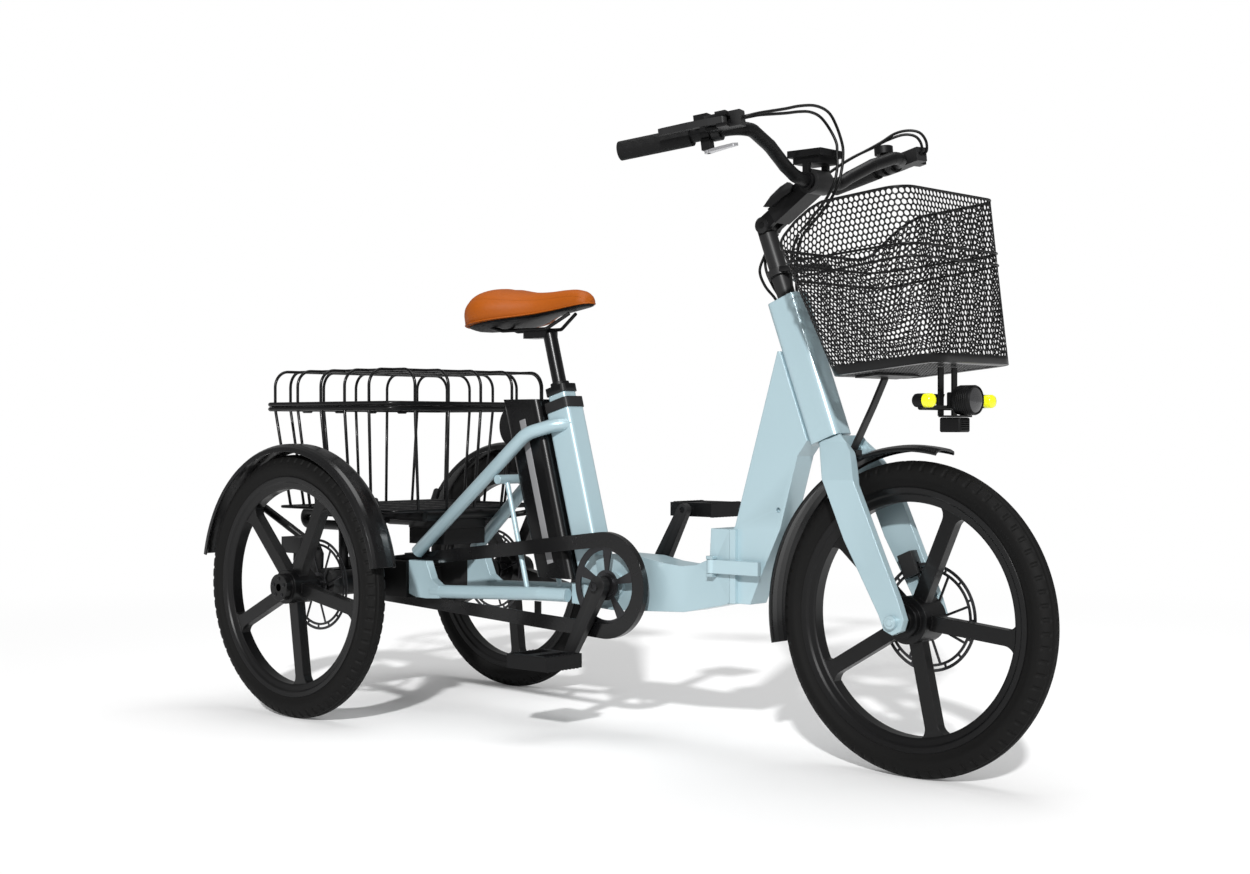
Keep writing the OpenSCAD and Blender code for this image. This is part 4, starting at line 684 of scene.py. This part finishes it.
SADDLE_X0, SADDLE_L, SADDLE_W, SADDLE_Z = 229.0, 292.0, 200.0, 843.0
SADDLE_LOW, SADDLE_SLOPE = SADDLE_Z - 80, math.tan(math.radians(7.9))
S_KEYS = [0.0, 0.02, 0.06, 0.12, 0.2, 0.28, 0.38, 0.48, 0.58, 0.68, 0.8, 0.9, 0.96, 0.99, 1.0]
W_KEYS = [0.34, 0.55, 0.78, 0.93, 1.0, 0.98, 0.84, 0.62, 0.44, 0.345, 0.29, 0.255, 0.21, 0.13, 0.06]
T_KEYS = [-48, -33, -17, -6, -0.5, -0.5, -5, -9, -11, -11, -9.5, -11, -17, -25, -31]


def smooth_at(keys, values, s):
    """A smooth curve through the keys."""
    k, v = np.asarray(keys), np.asarray(values, float)
    slope = np.gradient(v, k)
    i = np.clip(np.searchsorted(k, s, side="right") - 1, 0, len(k) - 2)
    h = k[i + 1] - k[i]
    t = (s - k[i]) / h
    return ((2 * t ** 3 - 3 * t ** 2 + 1) * v[i] + (t ** 3 - 2 * t ** 2 + t) * h * slope[i]
            + (-2 * t ** 3 + 3 * t ** 2) * v[i + 1] + (t ** 3 - t ** 2) * h * slope[i + 1])


def saddle_section(s, across=40):
    """One cross section of the saddle's skin, from its right lower edge over the top to its left one."""
    w = smooth_at(S_KEYS, W_KEYS, s) * (SADDLE_W / 2 - 1)
    top = SADDLE_Z - 1.0 + smooth_at(S_KEYS, T_KEYS, s)
    x = SADDLE_X0 + 2 + s * (SADDLE_L - 4)
    low = SADDLE_LOW + (x - SADDLE_X0) * SADDLE_SLOPE + 0.6
    a = np.linspace(0, math.pi, across)
    c, k = np.cos(a), np.sin(a)
    crown = 0.62 + 0.26 * s
    y = -np.sign(c) * np.abs(c) ** 0.82 * w
    tuck = np.clip(1 - k / 0.35, 0, 1)
    y = y * (1 - 0.07 * tuck ** 2)
    z = low + (top - low) * k ** crown
    groove = math.exp(-((s - 0.42) / 0.2) ** 2) * 3.0
    z = z - groove * np.exp(-(y / 9.0) ** 2)
    seam = np.exp(-((k - 0.55) / 0.035) ** 2) * 1.0
    return np.stack([np.full_like(y, x), y * (1 - 0.012 * seam), z - 0.6 * seam], -1)


def saddle():
    s = np.concatenate([1 - np.cos(np.linspace(0, math.pi / 2, 14)), np.linspace(1, 1, 1)])[:14] * 0.14
    s = np.concatenate([s, np.linspace(0.14, 0.9, 46)[1:], 0.9 + 0.1 * np.sin(np.linspace(0, math.pi / 2, 14))[1:]])
    rows = [saddle_section(float(v)) for v in s]
    n, m = len(rows), len(rows[0])
    under = [np.stack([q[[0, -1], 0].mean() + 0 * q[:, 0], q[:, 1] * 0.9, np.full(m, q[0, 2] + 0.0)], -1) for q in rows]
    pad = Shape()
    verts = np.vstack(rows + under)
    faces = []
    for i in range(n - 1):
        for k in range(m - 1):
            faces.append((i * m + k, (i + 1) * m + k, (i + 1) * m + k + 1, i * m + k + 1))
            o = n * m
            faces.append((o + i * m + k, o + i * m + k + 1, o + (i + 1) * m + k + 1, o + (i + 1) * m + k))
        for k in (0, m - 1):
            q = (i * m + k, (i + 1) * m + k, n * m + (i + 1) * m + k, n * m + i * m + k)
            faces.append(q if k else q[::-1])
    for i in (0, n - 1):
        for k in range(m - 1):
            q = (i * m + k, i * m + k + 1, n * m + i * m + k + 1, n * m + i * m + k)
            faces.append(q if i == 0 else q[::-1])
    pad.add(verts, faces)
    obj = pad.piece("saddle_cushion", "saddle", hide, 180, ("saddle_pad",))
    # Stitches along the seam between the top and the side panels
    stitches = Shape()
    line = []
    for v in np.linspace(0.03, 0.975, 150):
        q = saddle_section(float(v), 121)
        top, low = q[:, 2].max(), q[0, 2]
        k = int(np.argmin(np.abs(np.sin(np.linspace(0, math.pi, 121))[:60] - 0.55)))
        line.append(q[k])
    line = np.array(line)
    lengths = np.concatenate([[0], np.cumsum(np.linalg.norm(np.diff(line, axis=0), axis=1))])
    for side in (1, -1):
        for d in np.arange(4, lengths[-1] - 4, 5.2):
            p = [np.array([np.interp(d + e, lengths, line[:, k]) for k in range(3)]) for e in (0, 1.6, 3.2)]
            p = [q * [1, side, 1] + [0, side * 0.0, 0.25] for q in p]
            tube(stitches, p, 0.9, 6)
    stitches.piece("saddle_stitches", "saddle", thread, 180)
    # Piping round the lower edge
    edge = np.array([saddle_section(float(v), 41)[0] for v in s] + [saddle_section(float(v), 41)[-1] for v in s[::-1]])
    piping = tube(Shape(), edge + [0, 0, 1.2], 3.0, 8, closed=True)
    piping.piece("saddle_piping", "saddle", hide, 180)
    # Tray and rails
    base = Shape()
    tray = []
    for drop, inset in ((0.4, 0.86), (1.5, 0.84), (3.0, 0.7), (4.0, 0.5)):
        for v in s:
            q = saddle_section(float(v), 41)
            tray.append(q[[0, -1]] * [1, inset, 1] - [0, 0, drop + 0.6])
    tray = np.array(tray).reshape(4, n, 2, 3)
    verts, faces = tray.reshape(-1, 3), []
    at = lambda layer, i, k: (layer * n + i) * 2 + k
    for i in range(n - 1):
        for layer in range(3):
            faces.append((at(layer, i, 0), at(layer, i + 1, 0), at(layer + 1, i + 1, 0), at(layer + 1, i, 0))[::-1])
            faces.append((at(layer, i, 1), at(layer, i + 1, 1), at(layer + 1, i + 1, 1), at(layer + 1, i, 1)))
        faces.append((at(0, i, 0), at(0, i + 1, 0), at(0, i + 1, 1), at(0, i, 1)))
        faces.append((at(3, i, 0), at(3, i + 1, 0), at(3, i + 1, 1), at(3, i, 1))[::-1])
    for i in (0, n - 1):
        for layer in range(3):
            q = (at(layer, i, 0), at(layer, i, 1), at(layer + 1, i, 1), at(layer + 1, i, 0))
            faces.append(q[::-1] if i == 0 else q)
    base.add(verts, faces)
    base.piece("saddle_tray", "saddle", moulded, 50, ("saddle_base",))
    metal = Shape()
    for k in (-1, 1):
        tube(metal, bend([[SADDLE_X0 + 40, 26 * k, SADDLE_Z - 76], [SADDLE_X0 + 70, 21 * k, SADDLE_Z - 84],
                          [SADDLE_X0 + 190, 21 * k, SADDLE_Z - 84], [SADDLE_X0 + 240, 9 * k, SADDLE_Z - 56]], 14, 6), 7, 14)
    metal.piece("saddle_rails", "saddle", powder, 50)


saddle()

# Chain: rollers and plates round the two toothed wheels

def chain():
    c1, c2 = np.array([609.0, 280.0]), np.array([0.0, 258.0])
    r1, r2 = 40 * 12.7 / (2 * math.pi), 18 * 12.7 / (2 * math.pi)
    d = c1 - c2
    length = np.linalg.norm(d)
    a, b = math.atan2(d[1], d[0]), math.acos((r2 - r1) / length)
    path = []
    for t in np.linspace(a - b, a + b, 60):
        path.append(c1 + r1 * np.array([math.cos(t), math.sin(t)]))
    for t in np.linspace(a + b, a - b + 2 * math.pi, 60):
        path.append(c2 + r2 * np.array([math.cos(t), math.sin(t)]))
    path.append(path[0])
    path = np.array(path)
    at = np.concatenate([[0], np.cumsum(np.linalg.norm(np.diff(path, axis=0), axis=1))])
    links = int(round(at[-1] / 12.7 / 2)) * 2
    pins = np.array([[np.interp(at[-1] * i / links, at, path[:, k]) for k in (0, 1)] for i in range(links)])
    shape = Shape()
    for i in range(links):
        p, q = pins[i], pins[(i + 1) % links]
        lathe(shape, [(0, -3.4), (1.5, -3.4), (1.5, -2.1), (2.9, -2.1), (2.9, 2.1), (1.5, 2.1), (1.5, 3.4), (0, 3.4)],
              [p[0], -56, p[1]], [0, 1, 0], 10)
        u = unit(q - p)
        w = np.array([-u[1], u[0]])
        arc = np.radians(np.linspace(90, 270, 7))
        rim = [p + 3.1 * (math.cos(t) * u + math.sin(t) * w) for t in arc]
        rim += [(p + q) / 2 - w * 2.2] + [q - 3.1 * (math.cos(t) * u + math.sin(t) * w) for t in arc] + [(p + q) / 2 + w * 2.2]
        y = 2.75 if i % 2 else 1.9
        for side in (-1, 1):
            v = [[c[0], -56 + side * y, c[1]] for c in rim] + [[c[0], -56 + side * (y + 0.7), c[1]] for c in rim]
            k = len(rim)
            f = [tuple(range(k)), tuple(range(2 * k - 1, k - 1, -1))]
            f += [(j, (j + 1) % k, k + (j + 1) % k, k + j) for j in range(k)]
            shape.add(v, f)
    shape.piece("roller_chain", "frame", dark_steel, 40, ("drive_chain",))


chain()

# Lamps and horn under the front basket

lamp = Shape()
lathe(lamp, [(0, 0), (18, 0), (22, 3), (24, 9), (24, 34), (22.6, 37), (21, 37), (21, 33)], [1318, 0, 613], [1, 0, 0], 56)
for k in range(6):
    lathe(lamp, [(24, 12 + 3.4 * k), (24.0, 12.4 + 3.4 * k), (23.2, 13 + 3.4 * k), (24.0, 13.6 + 3.4 * k)], [1318, 0, 613], [1, 0, 0], 56)
soft_box(lamp, [1306.6, -12, 600], [1320, 12, 626], 2.5)
lamp.piece("headlamp_housing", "steering", moulded, 40, ("front_lamps",))
glass = Shape()
lathe(glass, [(21, 32.6), (20.8, 35.4), (17, 37.2), (10, 38.2), (0, 38.6)], [1318, 0, 613], [1, 0, 0], 56)
lathe(glass, [(21, 32.6), (0, 32.6)], [1318, 0, 613], [-1, 0, 0], 3)
glass.piece("headlamp_lens", "steering", lens, 60)
horn = Shape()
soft_box(horn, [1296, -16, 562], [1334, 16, 585.6], 3)
for k in range(5):
    soft_box(horn, [1333.4, -12, 566 + 3.6 * k], [1334, 12, 568 + 3.6 * k], 0.3)
horn.piece("horn_box", "steering", moulded, 40)
for side, label in ((-1, "right"), (1, "left")):
    case = Shape()
    lathe(case, [(0, 0), (8, 0), (10.4, 2.5), (11, 6), (11, 19), (10.2, 19.4), (0, 19.4)], [1298, 90 * side, 612], [1, 0, 0], 36)
    case.piece(label + "_side_lamp_case", "steering", moulded, 40)
    bulb = Shape()
    lathe(bulb, [(0, 19.0), (10.6, 19.0), (11, 20), (11, 31), (9.5, 34), (6, 35), (0, 35)], [1298, 90 * side, 612], [1, 0, 0], 36)
    bulb.piece(label + "_side_lamp_lens", "steering", yellow, 50)

# Battery strip

lean = math.radians(15.5)
up = np.array([-math.sin(lean), 0, math.cos(lean)])
back = np.array([-math.cos(lean), 0, -math.sin(lean)])
seat_top = np.array([449.4, 0, 602])
strip = Shape()
frame_at = (seat_top, -back, [0, 1, 0], up)
soft_box(strip, [-88, -38.8, -280], [-72, -37.6, 4], 0.5, frame_at)
strip.piece("battery_side_strip", "battery", grey_strip, 40)

# Display glass with its buttons

glass = Shape()
soft_box(glass, [1012, -29, 1037.4], [1060, 29, 1038.8], 0.6)
glass.piece("display_glass", "cockpit", screen, 40)
keys = Shape()
for y in (-18, 0, 18):
    soft_box(keys, [1063, y - 6, 1037.4], [1071, y + 6, 1039.2], 0.8)
keys.piece("display_keys", "cockpit", grip_rubber, 40)

# Ribs on both sides of the pedals
for label in ("right", "left"):
    low, high = [np.array(c) * 1000 - [AXLE_X * 1000, 0, 0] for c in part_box(label + "_pedal")]
    outer = (low[1] if label == "right" else high[1])
    inward = 1 if label == "right" else -1
    treads = Shape()
    for x0 in (high[0] - 9, low[0] + 1):
        for k in range(9):
            y0 = outer + inward * (6 + 9.6 * k)
            for z0, z1 in ((high[2] - 0.6, high[2] + 1.2), (low[2] - 1.2, low[2] + 0.6)):
                soft_box(treads, [x0, y0, z0], [x0 + 8, y0 + inward * 4, z1], 0.7)
    treads.piece(label + "_pedal_ribs", "pedal_" + label, moulded, 40)

# Small fasteners

crank_screws = Shape()
bolt(crank_screws, [609, -91, 280], [0, -1, 0], 18, 2)
crank_screws.piece("crank_bolt", "crank", black_screw, 40)
for side, body, label in ((-1, "rear_wheel_right", "right"), (1, "rear_wheel_left", "left")):
    hub = Shape()
    for k in range(5):
        t = math.radians(72 * k + 18)
        bolt(hub, [17 * math.cos(t), side * 337.9, 258 + 17 * math.sin(t)], [0, side, 0], 7, 1.6)
    lathe(hub, [(9, 0), (9, 3.5), (7.5, 4.4), (0, 4.4)], [0, side * 337.9 - side * 4.3, 258], [0, side, 0], 28)
    hub.piece(label + "_hub_screws", body, black_screw, 40)

# Floor, light and camera

EYE = (2.2569, -2.4988, 0.5701)
YAW, PITCH = 42.18, -0.31

bpy.ops.mesh.primitive_plane_add(size=60, location=(0, 0, 0))
floor = bpy.context.object
floor.name = "studio_floor"
mat = bpy.data.materials.new("studio floor")
mat.use_nodes = True
n, link = mat.node_tree.nodes, mat.node_tree.links.new
n.remove(n["Principled BSDF"])
matt = n.new("ShaderNodeBsdfDiffuse")
matt.inputs["Color"].default_value = (0.9, 0.9, 0.9, 1)
glow = n.new("ShaderNodeEmission")
glow.inputs["Strength"].default_value = 1.0
seen = n.new("ShaderNodeLightPath")
where = n.new("ShaderNodeTexCoord")
away = n.new("ShaderNodeVectorMath")
away.operation = "LENGTH"
link(where.outputs["Object"], away.inputs[0])
fade = n.new("ShaderNodeMapRange")
fade.interpolation_type = "SMOOTHSTEP"
fade.inputs["From Min"].default_value = 1.0
fade.inputs["From Max"].default_value = 3.6
fade.inputs["To Min"].default_value = 0.08
fade.inputs["To Max"].default_value = 1.0
link(away.outputs["Value"], fade.inputs["Value"])
share = n.new("ShaderNodeMath")
share.operation = "MULTIPLY"
link(seen.outputs["Is Camera Ray"], share.inputs[0])
link(fade.outputs[0], share.inputs[1])
mix = n.new("ShaderNodeMixShader")
link(share.outputs[0], mix.inputs[0])
link(matt.outputs[0], mix.inputs[1])
link(glow.outputs[0], mix.inputs[2])
link(mix.outputs[0], n["Material Output"].inputs["Surface"])
floor.data.materials.append(mat)

world = bpy.data.worlds.new("studio")
bpy.context.scene.world = world
world.use_nodes = True
n, link = world.node_tree.nodes, world.node_tree.links.new
soft = n["Background"]
soft.inputs["Color"].default_value = (1, 1, 1, 1)
soft.inputs["Strength"].default_value = 0.3
white = n.new("ShaderNodeBackground")
white.inputs["Strength"].default_value = 1.0
white.inputs["Color"].default_value = (1, 1, 1, 1)
seen = n.new("ShaderNodeLightPath")
most = n.new("ShaderNodeMath")
most.operation = "MAXIMUM"
link(seen.outputs["Is Camera Ray"], most.inputs[0])
link(seen.outputs["Is Transmission Ray"], most.inputs[1])
mix = n.new("ShaderNodeMixShader")
link(most.outputs[0], mix.inputs[0])
link(soft.outputs[0], mix.inputs[1])
link(white.outputs[0], mix.inputs[2])
link(mix.outputs[0], n["World Output"].inputs["Surface"])


def area(name, at, target, size, power):
    light = bpy.data.lights.new(name, "AREA")
    light.size = size
    light.energy = power
    obj = bpy.data.objects.new(name, light)
    obj.location = at
    obj.rotation_euler = (Vector(target) - Vector(at)).to_track_quat("-Z", "Y").to_euler()
    bpy.context.scene.collection.objects.link(obj)


sun = bpy.data.lights.new("key", "SUN")
sun.energy = 3.7
sun.angle = math.radians(2.5)
key = bpy.data.objects.new("key", sun)
key.rotation_euler = Vector((1.14, -1.57, 1.0)).to_track_quat("Z", "Y").to_euler()
bpy.context.scene.collection.objects.link(key)
area("top", (0.3, 0.4, 4.2), (0, 0, 0.5), 2.4, 75)

camera = bpy.data.cameras.new("camera")
camera.lens = 52.2
camera.sensor_width = 36
camera.sensor_fit = "HORIZONTAL"
camera.clip_start = 0.05
camera.clip_end = 100
eye = bpy.data.objects.new("camera", camera)
eye.location = EYE
eye.rotation_euler = (math.radians(90 + PITCH), 0, math.radians(YAW))
bpy.context.scene.collection.objects.link(eye)
bpy.context.scene.camera = eye
bpy.context.scene.view_settings.view_transform = "Standard"
